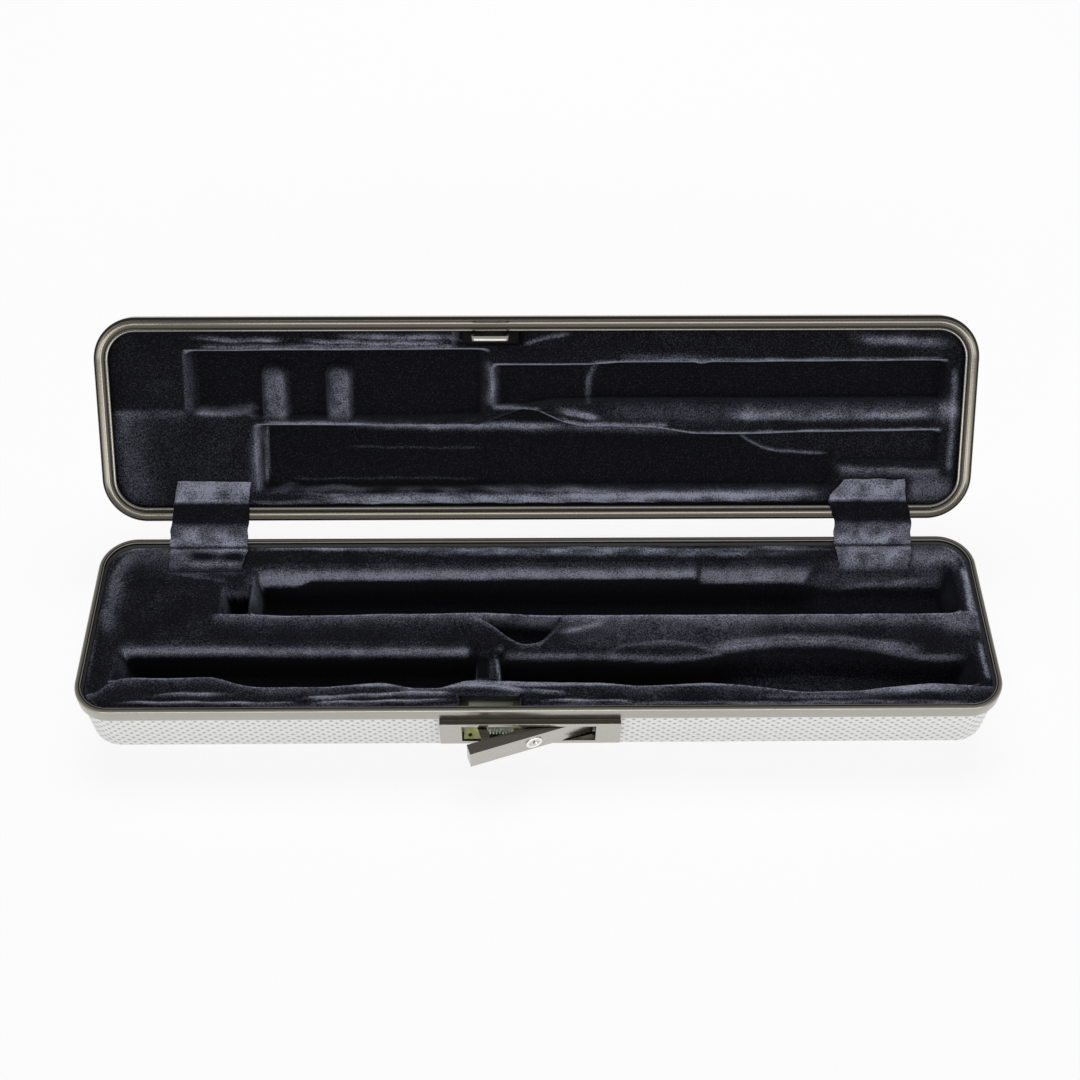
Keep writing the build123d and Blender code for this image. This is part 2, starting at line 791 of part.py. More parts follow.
with BuildPart() as latch_lever:
    with BuildSketch(lever_bottom) as lever_outline:
        square_area(-lever_left_arm, lever_right_arm, -lever_depth, 0)
        right_corners = lever_outline.vertices().group_by(Axis.X)[-1]
        fillet(right_corners.sort_by(Axis.Y)[0], radius=lever_end_radius)
        Circle(lever_hub_radius)
    extrude(amount=lever_height)
    with BuildSketch(lever_bottom):
        square_area(
            lever_skin - lever_left_arm,
            -lever_hub_radius - lock_housing_radius,
            lever_skin - lever_depth,
            0,
        )
    extrude(amount=lever_height - lever_skin, mode=Mode.SUBTRACT)
    with BuildSketch(lever_plane.offset(lever_height / 2 - lever_skin)):
        square_area(
            finger_x - finger_width / 2, finger_x + finger_width / 2, -lever_skin, finger_reach
        )
    extrude(amount=lever_skin)
    with BuildSketch(lever_bottom):
        square_area(-crank_width / 2, crank_width / 2, 0, crank_radius)
        with Locations((0, crank_radius)):
            Circle(crank_width / 2)
    extrude(amount=crank_thickness)
    with BuildSketch(lever_bottom):
        with Locations((0, crank_radius)):
            Circle(crank_pin_radius)
    extrude(amount=slide_clearance - lever_clearance)
    with BuildSketch(lever_bottom):
        Circle(lever_pin_radius + lever_pin_clearance)
    extrude(amount=lever_height, mode=Mode.SUBTRACT)
    with BuildSketch(lock_plane):
        Circle(lock_housing_radius + rivet_clearance)
    extrude(amount=-lever_skin, mode=Mode.SUBTRACT)

finish_part(latch_lever, "latch_lever")

# Key lock: a bright barrel pressed into the lever, a plug that the key turns, and its cam
with BuildPart() as lock_barrel:
    with BuildSketch(lock_plane.offset(-lock_length)):
        Circle(lock_housing_radius)
    extrude(amount=lock_length)
    with BuildSketch(lock_plane):
        Circle(lock_collar_radius)
    extrude(amount=lock_collar_height)
    collar_face = lock_barrel.faces().sort_by(Axis(lock_plane.origin, lock_plane.z_dir))[-1]
    fillet(collar_face.edges(), radius=collar_edge_radius)
    with BuildSketch(lock_plane.offset(-lock_length)):
        Circle(lock_plug_radius + lock_plug_clearance)
    extrude(amount=lock_length + lock_collar_height, mode=Mode.SUBTRACT)

finish_part(lock_barrel, "lock_barrel")

with BuildPart() as lock_plug:
    with BuildSketch(lock_plane.offset(-lock_length - cam_gap)):
        Circle(lock_plug_radius)
    extrude(amount=lock_length + cam_gap)
    with BuildSketch(lock_plane.offset(-lock_length - cam_gap - cam_thickness)):
        Circle(cam_stub_radius)
    extrude(amount=cam_thickness)
    with BuildSketch(lock_plane.offset(-key_slot_depth)):
        Rectangle(key_slot_width, key_slot_length)
    extrude(amount=key_slot_depth, mode=Mode.SUBTRACT)

finish_part(lock_plug, "lock_plug")

with BuildPart() as lock_cam:
    with BuildSketch(lock_plane.offset(-lock_length - cam_gap - cam_thickness)):
        square_area(-cam_width / 2, cam_width / 2, -cam_length, 0)
        Circle(lock_plug_radius)
        Circle(cam_stub_radius + rivet_clearance, mode=Mode.SUBTRACT)
    extrude(amount=cam_thickness)

finish_part(lock_cam, "lock_cam")

# Slide: a thin plate on the housing floor, with a tab for the spring. The lever's crank pin
# works in its cross slot, and a headed pin guides it.
slide_plane = Plane.XY.offset(window_bottom + slide_clearance)
slide_left = window_x - window_length / 2 + slide_end_gap
slide_right = slide_left + slide_plate_length
slide_front = latch_front + slide_plate_lead
close_shift = crank_radius * sin(radians(lever_open_angle))
keeper_left = pivot_x - keeper_from_pivot
spring_length = keeper_left - slide_right - 2 * spring_clearance
spring_y = latch_front + spring_lead
spring_z = latch_z - spring_drop

with BuildPart() as latch_slide:
    with BuildSketch(slide_plane):
        square_area(slide_left, slide_right, slide_front, crank_y + slide_strip_width / 2)
        with Locations(((slide_left + pivot_x + slide_strip_tail) / 2, crank_y)):
            Rectangle(pivot_x + slide_strip_tail - slide_left, slide_strip_width)
        with Locations((slide_left + slide_hole_inset, latch_front + slide_hole_lead)):
            Circle(slide_hole_radius, mode=Mode.SUBTRACT)
        with Locations((crank_x, crank_y)):
            Rectangle(
                2 * (crank_pin_radius + slide_slot_clearance), slide_slot_length, mode=Mode.SUBTRACT
            )
        with Locations((guide_x + slide_travel / 2 - close_shift, crank_y)):
            SlotCenterToCenter(
                slide_travel, 2 * (guide_pin_radius + slide_slot_clearance), mode=Mode.SUBTRACT
            )
    extrude(amount=slide_thickness)
    with BuildSketch(slide_plane):
        square_area(
            slide_right - slide_tab_thickness,
            slide_right,
            spring_y - slide_tab_width / 2,
            spring_y + slide_tab_width / 2,
        )
    extrude(amount=slide_tab_height)

finish_part(latch_slide, "latch_slide")

with BuildPart() as slide_guide:
    with BuildSketch(Plane.XY.offset(window_bottom - housing_wall)):
        with Locations((guide_x, crank_y)):
            Circle(guide_pin_radius)
    extrude(amount=housing_wall + 2 * slide_clearance + slide_thickness)
    with BuildSketch(slide_plane.offset(slide_thickness + slide_clearance)):
        with Locations((guide_x, crank_y)):
            Circle(guide_head_radius)
    extrude(amount=guide_head_height)

finish_part(slide_guide, "slide_guide")

# Spring: the space its coils take between the slide's tab and the keeper
with BuildPart() as latch_spring:
    with BuildSketch(Plane.YZ.offset(slide_right + spring_clearance)):
        with Locations((spring_y, spring_z)):
            Circle(spring_radius)
            Circle(spring_radius - spring_wire, mode=Mode.SUBTRACT)
    extrude(amount=spring_length)

finish_part(latch_spring, "latch_spring")

# Keeper: an angle on the housing's back that stops the spring and catches the lock's cam
keeper_right = keeper_left + keeper_thickness
keeper_bottom = latch_z - keeper_drop - keeper_height / 2
cam_front = pivot_y - lever_depth + lock_length + cam_gap
lip_rear = cam_front - keeper_lip_gap

with BuildPart() as lock_keeper:
    with BuildSketch(Plane.XY.offset(keeper_bottom)):
        square_area(
            keeper_left, keeper_right, latch_front + keeper_lead, housing_back - housing_wall
        )
        square_area(
            keeper_left, keeper_right + keeper_lip_length, lip_rear - keeper_thickness, lip_rear
        )
    extrude(amount=keeper_height)

finish_part(lock_keeper, "lock_keeper")

# Strike: a chromed staple on a plate riveted behind the lid rim
with BuildPart() as strike_plate:
    with BuildSketch(lid_plane.offset(rim_plate)):
        with Locations((strike_x, strike_plate_y)):
            Rectangle(strike_plate_length, strike_plate_width)
        with Locations((strike_x, strike_rivet_y)):
            with GridLocations(strike_plate_length - 2 * strike_rivet_inset, 0, 2, 1):
                Circle(strike_rivet_radius + rivet_clearance, mode=Mode.SUBTRACT)
    extrude(amount=strike_plate_thickness)

finish_part(strike_plate, "strike_plate")

with BuildPart() as strike_rivets:
    with BuildSketch(lid_plane.offset(rim_edge_radius)):
        with Locations((strike_x, strike_rivet_y)):
            with GridLocations(strike_plate_length - 2 * strike_rivet_inset, 0, 2, 1):
                Circle(strike_rivet_radius)
    extrude(amount=rim_plate + strike_plate_thickness - rim_edge_radius)

finish_part(strike_rivets, "strike_rivets")

with BuildPart() as strike_staple:
    with BuildSketch(lid_front_plane.offset(-strike_y - strike_depth / 2)) as staple_outline:
        square_area(
            strike_x - strike_span / 2, strike_x + strike_span / 2, -strike_drop, rim_plate
        )
        fillet(staple_outline.vertices().group_by(Axis.Y)[0], radius=strike_bend)
        with Locations((strike_x, (rim_plate + strike_metal - strike_drop) / 2)):
            Rectangle(
                strike_span - 2 * strike_metal,
                rim_plate + strike_drop - strike_metal,
                mode=Mode.SUBTRACT,
            )
    extrude(amount=strike_depth)

finish_part(strike_staple, "strike_staple")
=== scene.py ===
import math

import bmesh
import bpy
import numpy as np
from mathutils import Matrix, Vector


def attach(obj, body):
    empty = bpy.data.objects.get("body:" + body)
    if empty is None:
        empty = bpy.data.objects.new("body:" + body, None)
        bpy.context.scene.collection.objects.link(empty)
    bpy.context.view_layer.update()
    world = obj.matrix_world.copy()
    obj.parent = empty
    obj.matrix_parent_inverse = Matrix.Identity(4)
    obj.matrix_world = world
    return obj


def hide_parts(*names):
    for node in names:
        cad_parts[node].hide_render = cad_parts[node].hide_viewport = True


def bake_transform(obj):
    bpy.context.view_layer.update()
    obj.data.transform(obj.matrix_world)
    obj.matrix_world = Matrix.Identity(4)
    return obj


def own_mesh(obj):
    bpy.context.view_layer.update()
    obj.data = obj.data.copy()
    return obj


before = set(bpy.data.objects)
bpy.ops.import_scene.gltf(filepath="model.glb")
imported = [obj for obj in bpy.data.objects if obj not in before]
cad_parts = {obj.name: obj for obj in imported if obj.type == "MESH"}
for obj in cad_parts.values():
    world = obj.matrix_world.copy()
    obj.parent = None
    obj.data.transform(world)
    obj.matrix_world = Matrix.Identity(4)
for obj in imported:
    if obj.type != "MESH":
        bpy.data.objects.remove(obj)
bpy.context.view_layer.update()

# ---------------------------------------------------------------- Base shell
# The lower half of the case: a moulded tray of glossy pale grey plastic with rolled bottom
# edges. Its whole skin carries a fine basket weave of staggered pillows, and a window is cut
# in its front wall for the latch.
MM = 0.001
case_length, case_width = 426.0, 100.0
base_height, base_corner = 37.0, 17.0
wall_slant = math.radians(2)
shell_wall, shell_inset = 2.0, 1.2
base_shell_top, base_edge_radius = 35.4, 7.0
skirt_bottom = 30.2
skin_lap, lip_gap = 0.4, 0.05
weave_pitch, weave_row, weave_relief = 4.8, 2.07, 0.34
base_steps = (328, 56, 22)  # points of a ring on each long side, short side and corner
latch_recess = (-46.0, -54.0, 13.3), (37.0, -48.0, 30.1)
housing_recess = (-38.5, -49.0, 14.3), (28.2, -37.2, 29.1)


def outline_ring(inset, corner, long_steps, short_steps, arc_steps):
    """The case's plan outline, moved in by inset: points in millimetres, the same number for any inset."""
    half_x, half_y = case_length / 2 - corner, case_width / 2 - corner
    radius = corner - inset
    points = []
    corners = ((half_x, half_y, 0, short_steps), (-half_x, half_y, 90, long_steps),
               (-half_x, -half_y, 180, short_steps), (half_x, -half_y, 270, long_steps))
    for x, y, start, side_steps in corners:
        turn = math.radians(start)
        first = np.array([x + radius * math.cos(turn), y + radius * math.sin(turn)])
        span = 2 * (half_y if start in (0, 180) else half_x)
        back = np.array([-math.sin(turn), math.cos(turn)])
        for step in range(side_steps):
            points.append(first - back * span * (1 - step / side_steps))
        for step in range(arc_steps):
            angle = turn + math.radians(90) * step / arc_steps
            points.append(np.array([x + radius * math.cos(angle), y + radius * math.sin(angle)]))
    return np.array(points)


def weave_height(u, row):
    """The pillows of the weave, from 0 in the gaps to 1 on top: u in pitches, row in rows."""
    return np.sqrt(np.clip(0.5 + 0.5 * np.cos(2 * np.pi * u) * np.cos(np.pi * row), 0, 1))


def new_object(name, data):
    """An object in the scene that shows this data."""
    piece = bpy.data.objects.new(name, data)
    bpy.context.scene.collection.objects.link(piece)
    return piece


def bake(piece):
    """Turns what a piece's modifiers make into its plain mesh."""
    bpy.context.view_layer.update()
    graph = bpy.context.evaluated_depsgraph_get()
    mesh = bpy.data.meshes.new_from_object(piece.evaluated_get(graph))
    piece.modifiers.clear()
    piece.data = mesh


def mesh_piece(name, points, faces, material, smooth=True):
    """A mesh object from points in millimetres."""
    mesh = bpy.data.meshes.new(name)
    mesh.from_pydata([tuple(p) for p in np.asarray(points) * MM], [], [tuple(f) for f in faces])
    mesh.materials.append(material)
    mesh.polygons.foreach_set("use_smooth", [smooth] * len(mesh.polygons))
    mesh.update()
    return new_object(name, mesh)


def shell_tray(name, material, skin_top, skirt, corner, edge_radius, steps):
    """A closed woven tray, open side up, with its flat at height 0 and its lip at skin_top."""
    slant, draft = wall_slant, math.tan(wall_slant)
    centre = shell_inset + (skin_top - edge_radius) * draft + edge_radius / math.cos(slant)
    wall_end = edge_radius * (1 - math.sin(slant))
    wall_top = skirt + skin_lap
    wall_length = (wall_top - wall_end) / math.cos(slant)
    arc_length = edge_radius * (math.pi / 2 - slant)
    rows = int(round((wall_length + arc_length) / (weave_row / 3)))
    rings, levels = [], []
    for row in range(rows + 1):
        s = row * (wall_length + arc_length) / rows
        if s <= wall_length:
            z = wall_top - s * math.cos(slant)
            inset, normal = shell_inset + (skin_top - z) * draft, slant
        else:
            normal = slant + (s - wall_length) / edge_radius
            inset = centre - edge_radius * math.cos(normal)
            z = edge_radius - edge_radius * math.sin(normal)
        rings.append((inset, z, normal, row / 3))
    count = len(outline_ring(0, corner, *steps))
    points, faces = [], []

    def add_ring(inset, z, relief, level):
        flat = outline_ring(inset, corner, *steps)
        if relief is not None:
            deeper = outline_ring(inset + 1.0, corner, *steps)
            lift = weave_relief * (weave_height(np.arange(count) / 4, level) - 1)
            flat = flat + (flat - deeper) * (lift * math.cos(relief))[:, None]
            zs = z - lift * math.sin(relief)
        else:
            zs = np.full(count, z)
        points.extend(np.column_stack([flat, zs]))
        levels.append(level)

    add_ring(shell_inset + lip_gap, skin_top - lip_gap, None, -(skin_top - wall_top) / weave_row)
    for inset, z, normal, level in rings:
        add_ring(inset, z, normal, level)
    outer_rings = len(levels)
    inner_radius = edge_radius - shell_wall
    for angle in np.radians([90, 70, 50, 30, 10, 2]):
        add_ring(centre - inner_radius * math.cos(angle), edge_radius - inner_radius * math.sin(angle),
                 None, 0)
    add_ring(shell_inset + shell_wall + lip_gap, skin_top - lip_gap, None, 0)
    ring_count = len(levels)
    face_uv = []
    for ring in list(range(outer_rings - 1)) + list(range(outer_rings, ring_count - 1)):
        a, b = ring * count, (ring + 1) * count
        low, high = levels[ring], levels[ring + 1]
        for k in range(count):
            n = (k + 1) % count
            faces.append((a + k, b + k, b + n, a + n))
            u, v = k / 4, (k + 1) / 4
            face_uv.append(((u, low), (u, high), (v, high), (v, low)))
    last = (ring_count - 1) * count
    for k in range(count):
        n = (k + 1) % count
        faces.append((last + k, k, n, last + n))
        face_uv.append(((k / 4, 0),) * 4)
    for ring, turned in ((outer_rings - 1, True), (outer_rings, False)):
        loop = [ring * count + k for k in range(count)]
        faces.append(tuple(reversed(loop)) if turned else tuple(loop))
        face_uv.append([(points[i][0] / weave_pitch, points[i][1] / weave_row) for i in faces[-1]])
    piece = mesh_piece(name, points, faces, material)
    # Its inner faces are painted near black, as painted shade for the slot between shell and lining.
    piece.data.materials.append(shaded_inside_material)
    inner = (outer_rings - 1) * count
    for face in piece.data.polygons[inner:inner + (ring_count - outer_rings) * count]:
        face.material_index = 1
    piece.data.polygons[-1].material_index = 1
    layer = piece.data.uv_layers.new(name="weave")
    flat_uv = [c for face in face_uv for uv in face for c in uv]
    layer.data.foreach_set("uv", flat_uv)
    return piece


def fresh_material(name, colour, roughness, metallic=0.0):
    """A node material with its Principled shader's plain values set on its own sockets."""
    material = bpy.data.materials.new(name)
    material.use_nodes = True
    shader = material.node_tree.nodes["Principled BSDF"]
    shader.inputs["Base Color"].default_value = (*colour, 1)
    shader.inputs["Roughness"].default_value = roughness
    shader.inputs["Metallic"].default_value = metallic
    return material, material.node_tree, shader


def math_node(tree, operation, a, b=None, c=None):
    """A maths node; each input is a number or another node's socket."""
    node = tree.nodes.new("ShaderNodeMath")
    node.operation = operation
    for socket, value in zip(node.inputs, (a, b, c)):
        if isinstance(value, (int, float)):
            socket.default_value = value
        elif value is not None:
            tree.links.new(value, socket)
    return node.outputs[0]


def colour_by(tree, value, stops):
    """Colours a material by a value, through a ramp of (position, colour) stops."""
    node = tree.nodes.new("ShaderNodeValToRGB")
    elements = node.color_ramp.elements
    while len(elements) < len(stops):
        elements.new(0.5)
    for element, (position, colour) in zip(elements, stops):
        element.position, element.color = position, (*colour, 1)
    tree.links.new(value, node.inputs["Fac"])
    tree.links.new(node.outputs["Color"], tree.nodes["Principled BSDF"].inputs["Base Color"])


def bump_node(tree, height, distance, shader, strength=1.0):
    """Fine relief on a shader, distance millimetres deep."""
    node = tree.nodes.new("ShaderNodeBump")
    node.inputs["Distance"].default_value = distance * MM
    node.inputs["Strength"].default_value = strength
    tree.links.new(height, node.inputs["Height"])
    tree.links.new(node.outputs["Normal"], shader.inputs["Normal"])


def noise_node(tree, size, detail=3.0, stretch=None):
    """Noise whose features are about size millimetres, on the piece's own coordinates."""
    texture = tree.nodes.new("ShaderNodeTexNoise")
    texture.inputs["Scale"].default_value = 1 / (size * MM)
    texture.inputs["Detail"].default_value = detail
    coordinate = tree.nodes.new("ShaderNodeTexCoord").outputs["Object"]
    if stretch is not None:
        mapping = tree.nodes.new("ShaderNodeMapping")
        mapping.inputs["Scale"].default_value = stretch
        tree.links.new(coordinate, mapping.inputs["Vector"])
        coordinate = mapping.outputs["Vector"]
    tree.links.new(coordinate, texture.inputs["Vector"])
    return texture.outputs["Fac"]


def woven_skin():
    """Glossy pale plastic, its pillows drawn by the weave's own map, with painted shade darkening the gaps
    between them.
    """
    material, tree, shader = fresh_material("woven_skin", (0.80, 0.80, 0.79), 0.30)
    place = tree.nodes.new("ShaderNodeUVMap")
    place.uv_map = "weave"
    split = tree.nodes.new("ShaderNodeSeparateXYZ")
    tree.links.new(place.outputs["UV"], split.inputs[0])
    across = math_node(tree, "COSINE", math_node(tree, "MULTIPLY", split.outputs["X"], 2 * math.pi))
    along = math_node(tree, "COSINE", math_node(tree, "MULTIPLY", split.outputs["Y"], math.pi))
    pillow = math_node(tree, "MULTIPLY_ADD", math_node(tree, "MULTIPLY", across, along), 0.5, 0.5)
    rounded = math_node(tree, "SQRT", pillow)
    grain = noise_node(tree, 0.5)
    height = math_node(tree, "ADD", rounded, math_node(tree, "MULTIPLY", grain, 0.12))
    bump_node(tree, height, 0.45, shader)
    # Painted shade: the colour falls from the pillows' pale tops to dark grey in the gaps.
    colour_by(tree, rounded, [(0.0, (0.30, 0.30, 0.285)), (0.35, (0.52, 0.52, 0.50)),
                              (0.62, (0.84, 0.84, 0.825)), (0.9, (0.90, 0.90, 0.89))])
    shader.inputs["Coat Weight"].default_value = 0.3
    shader.inputs["Coat Roughness"].default_value = 0.15
    return material


def cut_away(piece, low, high):
    """Cuts a box out of a piece, between two corners in millimetres."""
    corners = [(x, y, z) for x in (low[0], high[0]) for y in (low[1], high[1]) for z in (low[2], high[2])]
    sides = ((0, 1, 3, 2), (4, 6, 7, 5), (0, 4, 5, 1), (2, 3, 7, 6), (0, 2, 6, 4), (1, 5, 7, 3))
    cutter = mesh_piece("cutter", corners, sides, piece.data.materials[0], smooth=False)
    cut = piece.modifiers.new("cut", "BOOLEAN")
    cut.operation, cut.solver, cut.object = "DIFFERENCE", "EXACT", cutter
    bake(piece)
    bpy.data.objects.remove(cutter)


skin_material = woven_skin()
# The shells' inner faces are painted near black: painted shade for the slot between shell and lining.
shaded_inside_material = fresh_material("shell_inside_painted_shade", (0.012, 0.012, 0.013), 0.7)[0]
base_shell = shell_tray("base_skin", skin_material, base_shell_top, skirt_bottom, base_corner,
                        base_edge_radius, base_steps)
cut_away(base_shell, *latch_recess)
cut_away(base_shell, *housing_recess)
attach(base_shell, "base")
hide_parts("base_shell")

# ---------------------------------------------------------------- Base rim
# A drawn metal edge of satin nickel colour, pressed over the shell's lip: a flat top with a
# fine groove all round it and a skirt that laps the skin.
base_rim_profile = [
    (1.2, 30.2), (0.25, 30.2), (0.05, 30.3), (0.0, 30.55), (0.0, 35.9), (0.12, 36.35), (0.35, 36.7),
    (0.75, 36.95), (1.2, 37.0), (1.85, 37.0), (1.95, 36.9), (2.0, 36.5), (2.3, 36.5), (2.35, 36.9),
    (2.45, 37.0), (2.65, 36.98), (2.9, 36.8), (3.0, 36.5), (3.0, 35.6), (2.9, 35.4), (1.2, 35.4),
]


def started_tree(name, sockets):
    """A new node tree with these named inputs, and the sockets that give their values."""
    tree = bpy.data.node_groups.new(name, "GeometryNodeTree")
    for label, kind in sockets.items():
        tree.interface.new_socket(label, in_out="INPUT", socket_type="NodeSocket" + kind)
    tree.interface.new_socket("Geometry", in_out="OUTPUT", socket_type="NodeSocketGeometry")
    return tree, tree.nodes.new("NodeGroupInput").outputs


def add_node(tree, kind, settings):
    """A node whose inputs are set to plain values or linked to other nodes' sockets."""
    node = tree.nodes.new(kind)
    for label, value in settings.items():
        if isinstance(value, bpy.types.NodeSocket):
            tree.links.new(value, node.inputs[label])
        else:
            node.inputs[label].default_value = value
    return node


def ended_tree(tree, geometry, material):
    """Smooths a node tree's geometry, makes it real, gives it its material and hands it out."""
    for kind in ("GeometryNodeSetShadeSmooth", "GeometryNodeRealizeInstances", "GeometryNodeSetMaterial"):
        node = add_node(tree, kind, {"Geometry": geometry})
        geometry = node.outputs["Geometry"]
    tree.links.new(material, node.inputs["Material"])
    add_node(tree, "NodeGroupOutput", {"Geometry": geometry})
    return tree


def sweep_tree():
    """A node tree that sweeps a profile round the case's outline."""
    tree, given = started_tree("rim_sweep", {"Length": "Float", "Width": "Float", "Corner": "Float",
                                             "Profile": "Object", "Finish": "Material"})
    box = add_node(tree, "GeometryNodeCurvePrimitiveQuadrilateral",
                   {"Width": given["Length"], "Height": given["Width"]})
    fillet = tree.nodes.new("GeometryNodeFilletCurve")
    fillet.mode = "POLY"
    fillet.inputs["Count"].default_value = 24
    tree.links.new(box.outputs["Curve"], fillet.inputs["Curve"])
    tree.links.new(given["Corner"], fillet.inputs["Radius"])
    profile = add_node(tree, "GeometryNodeObjectInfo", {"Object": given["Profile"]})
    sweep = add_node(tree, "GeometryNodeCurveToMesh", {
        "Curve": fillet.outputs["Curve"], "Profile Curve": profile.outputs["Geometry"]})
    return ended_tree(tree, sweep.outputs["Mesh"], given["Finish"])


def grown(name, tree, settings):
    """Runs a node tree with its named inputs set, and returns its result as a plain mesh object."""
    holder = new_object(name, bpy.data.meshes.new(name))
    modifier = holder.modifiers.new("build", "NODES")
    modifier.node_group = tree
    for item in tree.interface.items_tree:
        if item.in_out == "INPUT" and item.name in settings:
            modifier[item.identifier] = settings[item.name]
    bake(holder)
    return holder


def profile_curve(points):
    """A closed profile curve from (inset, height) points in millimetres."""
    data = bpy.data.curves.new("profile", "CURVE")
    data.dimensions = "2D"
    spline = data.splines.new("POLY")
    spline.points.add(len(points) - 1)
    for point, (inset, height) in zip(spline.points, points):
        point.co = (-inset * MM, -height * MM, 0, 1)
    spline.use_cyclic_u = True
    return new_object("profile", data)


def rim_sweep(name, points, corner, material):
    """The rim with this profile, its creases kept sharp."""
    profile = profile_curve(points)
    rim = grown(name, rim_tree, {"Length": case_length * MM, "Width": case_width * MM,
                                 "Corner": corner * MM, "Profile": profile, "Finish": material})
    bpy.data.objects.remove(profile)
    rim.data.set_sharp_from_angle(angle=math.radians(50))
    return rim


def satin_metal(name, colour, roughness, streak=(1, 1, 1), wear=0.10):
    """Drawn or pressed metal: faint drawing lines and cloudy wear in its gloss and colour."""
    material, tree, shader = fresh_material(name, colour, roughness, 1.0)
    cloud = noise_node(tree, 9.0, 4.0)
    lines = noise_node(tree, 0.5, 2.0, stretch=streak)
    dark = tuple(c * (1 - wear) for c in colour)
    light = tuple(min(1, c * (1 + wear)) for c in colour)
    colour_by(tree, cloud, [(0.3, dark), (0.7, light)])
    rough = math_node(tree, "MULTIPLY_ADD", math_node(tree, "ADD", cloud, lines), 0.10,
                      max(0.02, roughness - 0.10))
    tree.links.new(rough, shader.inputs["Roughness"])
    bump_node(tree, lines, 0.02, shader, 0.5)
    return material


def painted_band_metal(name, bands, roughness):
    """Drawn metal with painted reflections and painted shade in bands across it: (inset, colour) pairs from
    its outer to its inner edge, where insets from -1 to 0 are the skirt's."""
    material = satin_metal(name, bands[0][1], roughness, (0.05, 0.05, 1), 0.05)
    tree = material.node_tree
    across = tree.nodes.new("ShaderNodeAttribute")
    across.attribute_name = "inset"
    width = bands[-1][0] + 1.0
    place = math_node(tree, "DIVIDE", math_node(tree, "ADD", across.outputs["Fac"], 1.0), width)
    colour_by(tree, place, [((inset + 1.0) / width, colour) for inset, colour in bands])
    return material


def mark_inset(piece, corner, face, skirt_from):
    """Stores how far each point of a rim lies inside the case's outline, in millimetres, and below nought how
    far it lies down the skirt, which starts skirt_from below the rim's face. The rims' bands of painted
    reflection and shade are laid out by it."""
    places = np.empty(len(piece.data.vertices) * 3)
    piece.data.vertices.foreach_get("co", places)
    places = np.abs(places.reshape(-1, 3) / MM)
    down = np.abs(places[:, 2] - face) - skirt_from
    x = places[:, 0] - (case_length / 2 - corner)
    y = places[:, 1] - (case_width / 2 - corner)
    inset = corner - np.hypot(np.maximum(x, 0), np.maximum(y, 0)) - np.minimum(np.maximum(x, y), 0)
    inset = inset - np.where(inset < 0.5, 0.4 * np.clip(down, 0, 2.5), 0)
    attribute = piece.data.attributes.new("inset", "FLOAT", "POINT")
    attribute.data.foreach_set("value", inset.astype(np.float32))


rim_tree = sweep_tree()
# Painted reflections in bands across the flat top, with painted shade down the fine groove and on the turn of
# the inner edge.
base_rim_metal = painted_band_metal("base_rim_metal", [
    (0.0, (0.43, 0.42, 0.38)), (0.12, (0.38, 0.367, 0.325)), (0.5, (0.22, 0.21, 0.18)),
    (1.0, (0.12, 0.114, 0.098)), (1.8, (0.10, 0.095, 0.082)), (1.98, (0.02, 0.02, 0.018)),
    (2.34, (0.02, 0.02, 0.018)), (2.6, (0.22, 0.21, 0.185)), (3.0, (0.04, 0.038, 0.034)),
], 0.30)
base_rim = rim_sweep("base_rim_band", base_rim_profile, base_corner, base_rim_metal)
mark_inset(base_rim, base_corner, base_height, skirt_from=3.0)
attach(base_rim, "base")
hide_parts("base_rim")

# ---------------------------------------------------------------- Base lining
# Navy velvet stretched over moulded foam, one long trough at the back for the body joint and
# two in front for the foot and head joints. Its edges and ridges are soft and uneven.
lining_edge = 3.15
lining_half_x, lining_half_y = case_length / 2 - lining_edge, case_width / 2 - lining_edge
base_lining_top, base_lining_bottom = 34.5, 8.0


def edge_spaced(half, step):
    """Positions from -half to half, closer together near the ends."""
    near = np.array([0.0, 0.15, 0.4, 0.8, 1.3, 2.0, 3.0])
    inner = half - 3.0
    count = int(round(2 * inner / step))
    middle = np.linspace(-inner, inner, count + 1)[1:-1]
    return np.concatenate([-half + near, middle, (half - near)[::-1]])


def velvet_plan(corner, step_x, step_y):
    """A grid of plan positions that fills the lining's outline, its end columns bent to the corners."""
    x, y = edge_spaced(lining_half_x, step_x), edge_spaced(lining_half_y, step_y)
    across, up = np.meshgrid(x, y)
    beyond = np.clip(np.abs(up) - (lining_half_y - corner), 0, corner)
    reach = lining_half_x - corner + np.sqrt(np.maximum(corner ** 2 - beyond ** 2, 0))
    start = lining_half_x - 2.2 * corner
    over = np.clip(np.abs(across) - start, 0, None) / (lining_half_x - start)
    across = np.sign(across) * (np.minimum(np.abs(across), start) + over * (reach - start))
    return across, up


def lining_depth(across, up, corner):
    """How far each plan position is inside the lining's outline."""
    x = np.abs(across) - (lining_half_x - corner)
    y = np.abs(up) - (lining_half_y - corner)
    outside = np.hypot(np.maximum(x, 0), np.maximum(y, 0)) + np.minimum(np.maximum(x, y), 0)
    return corner - outside


def ease(t):
    """From 0 to 1 with soft ends."""
    t = np.clip(t, 0, 1)
    return t * t * t * (t * (6 * t - 15) + 10)


def line_through(across, points, soft=2.5):
    """A soft-cornered line through (x, y) points, read at across."""
    knots = np.linspace(-lining_half_x - 5, lining_half_x + 5, 1700)
    values = np.interp(knots, [p[0] for p in points], [p[1] for p in points])
    window = np.exp(-0.5 * (np.arange(-40, 41) * (knots[1] - knots[0]) / soft) ** 2)
    padded = np.pad(values, 40, mode="edge")
    return np.interp(across, knots, np.convolve(padded, window / window.sum(), mode="valid"))


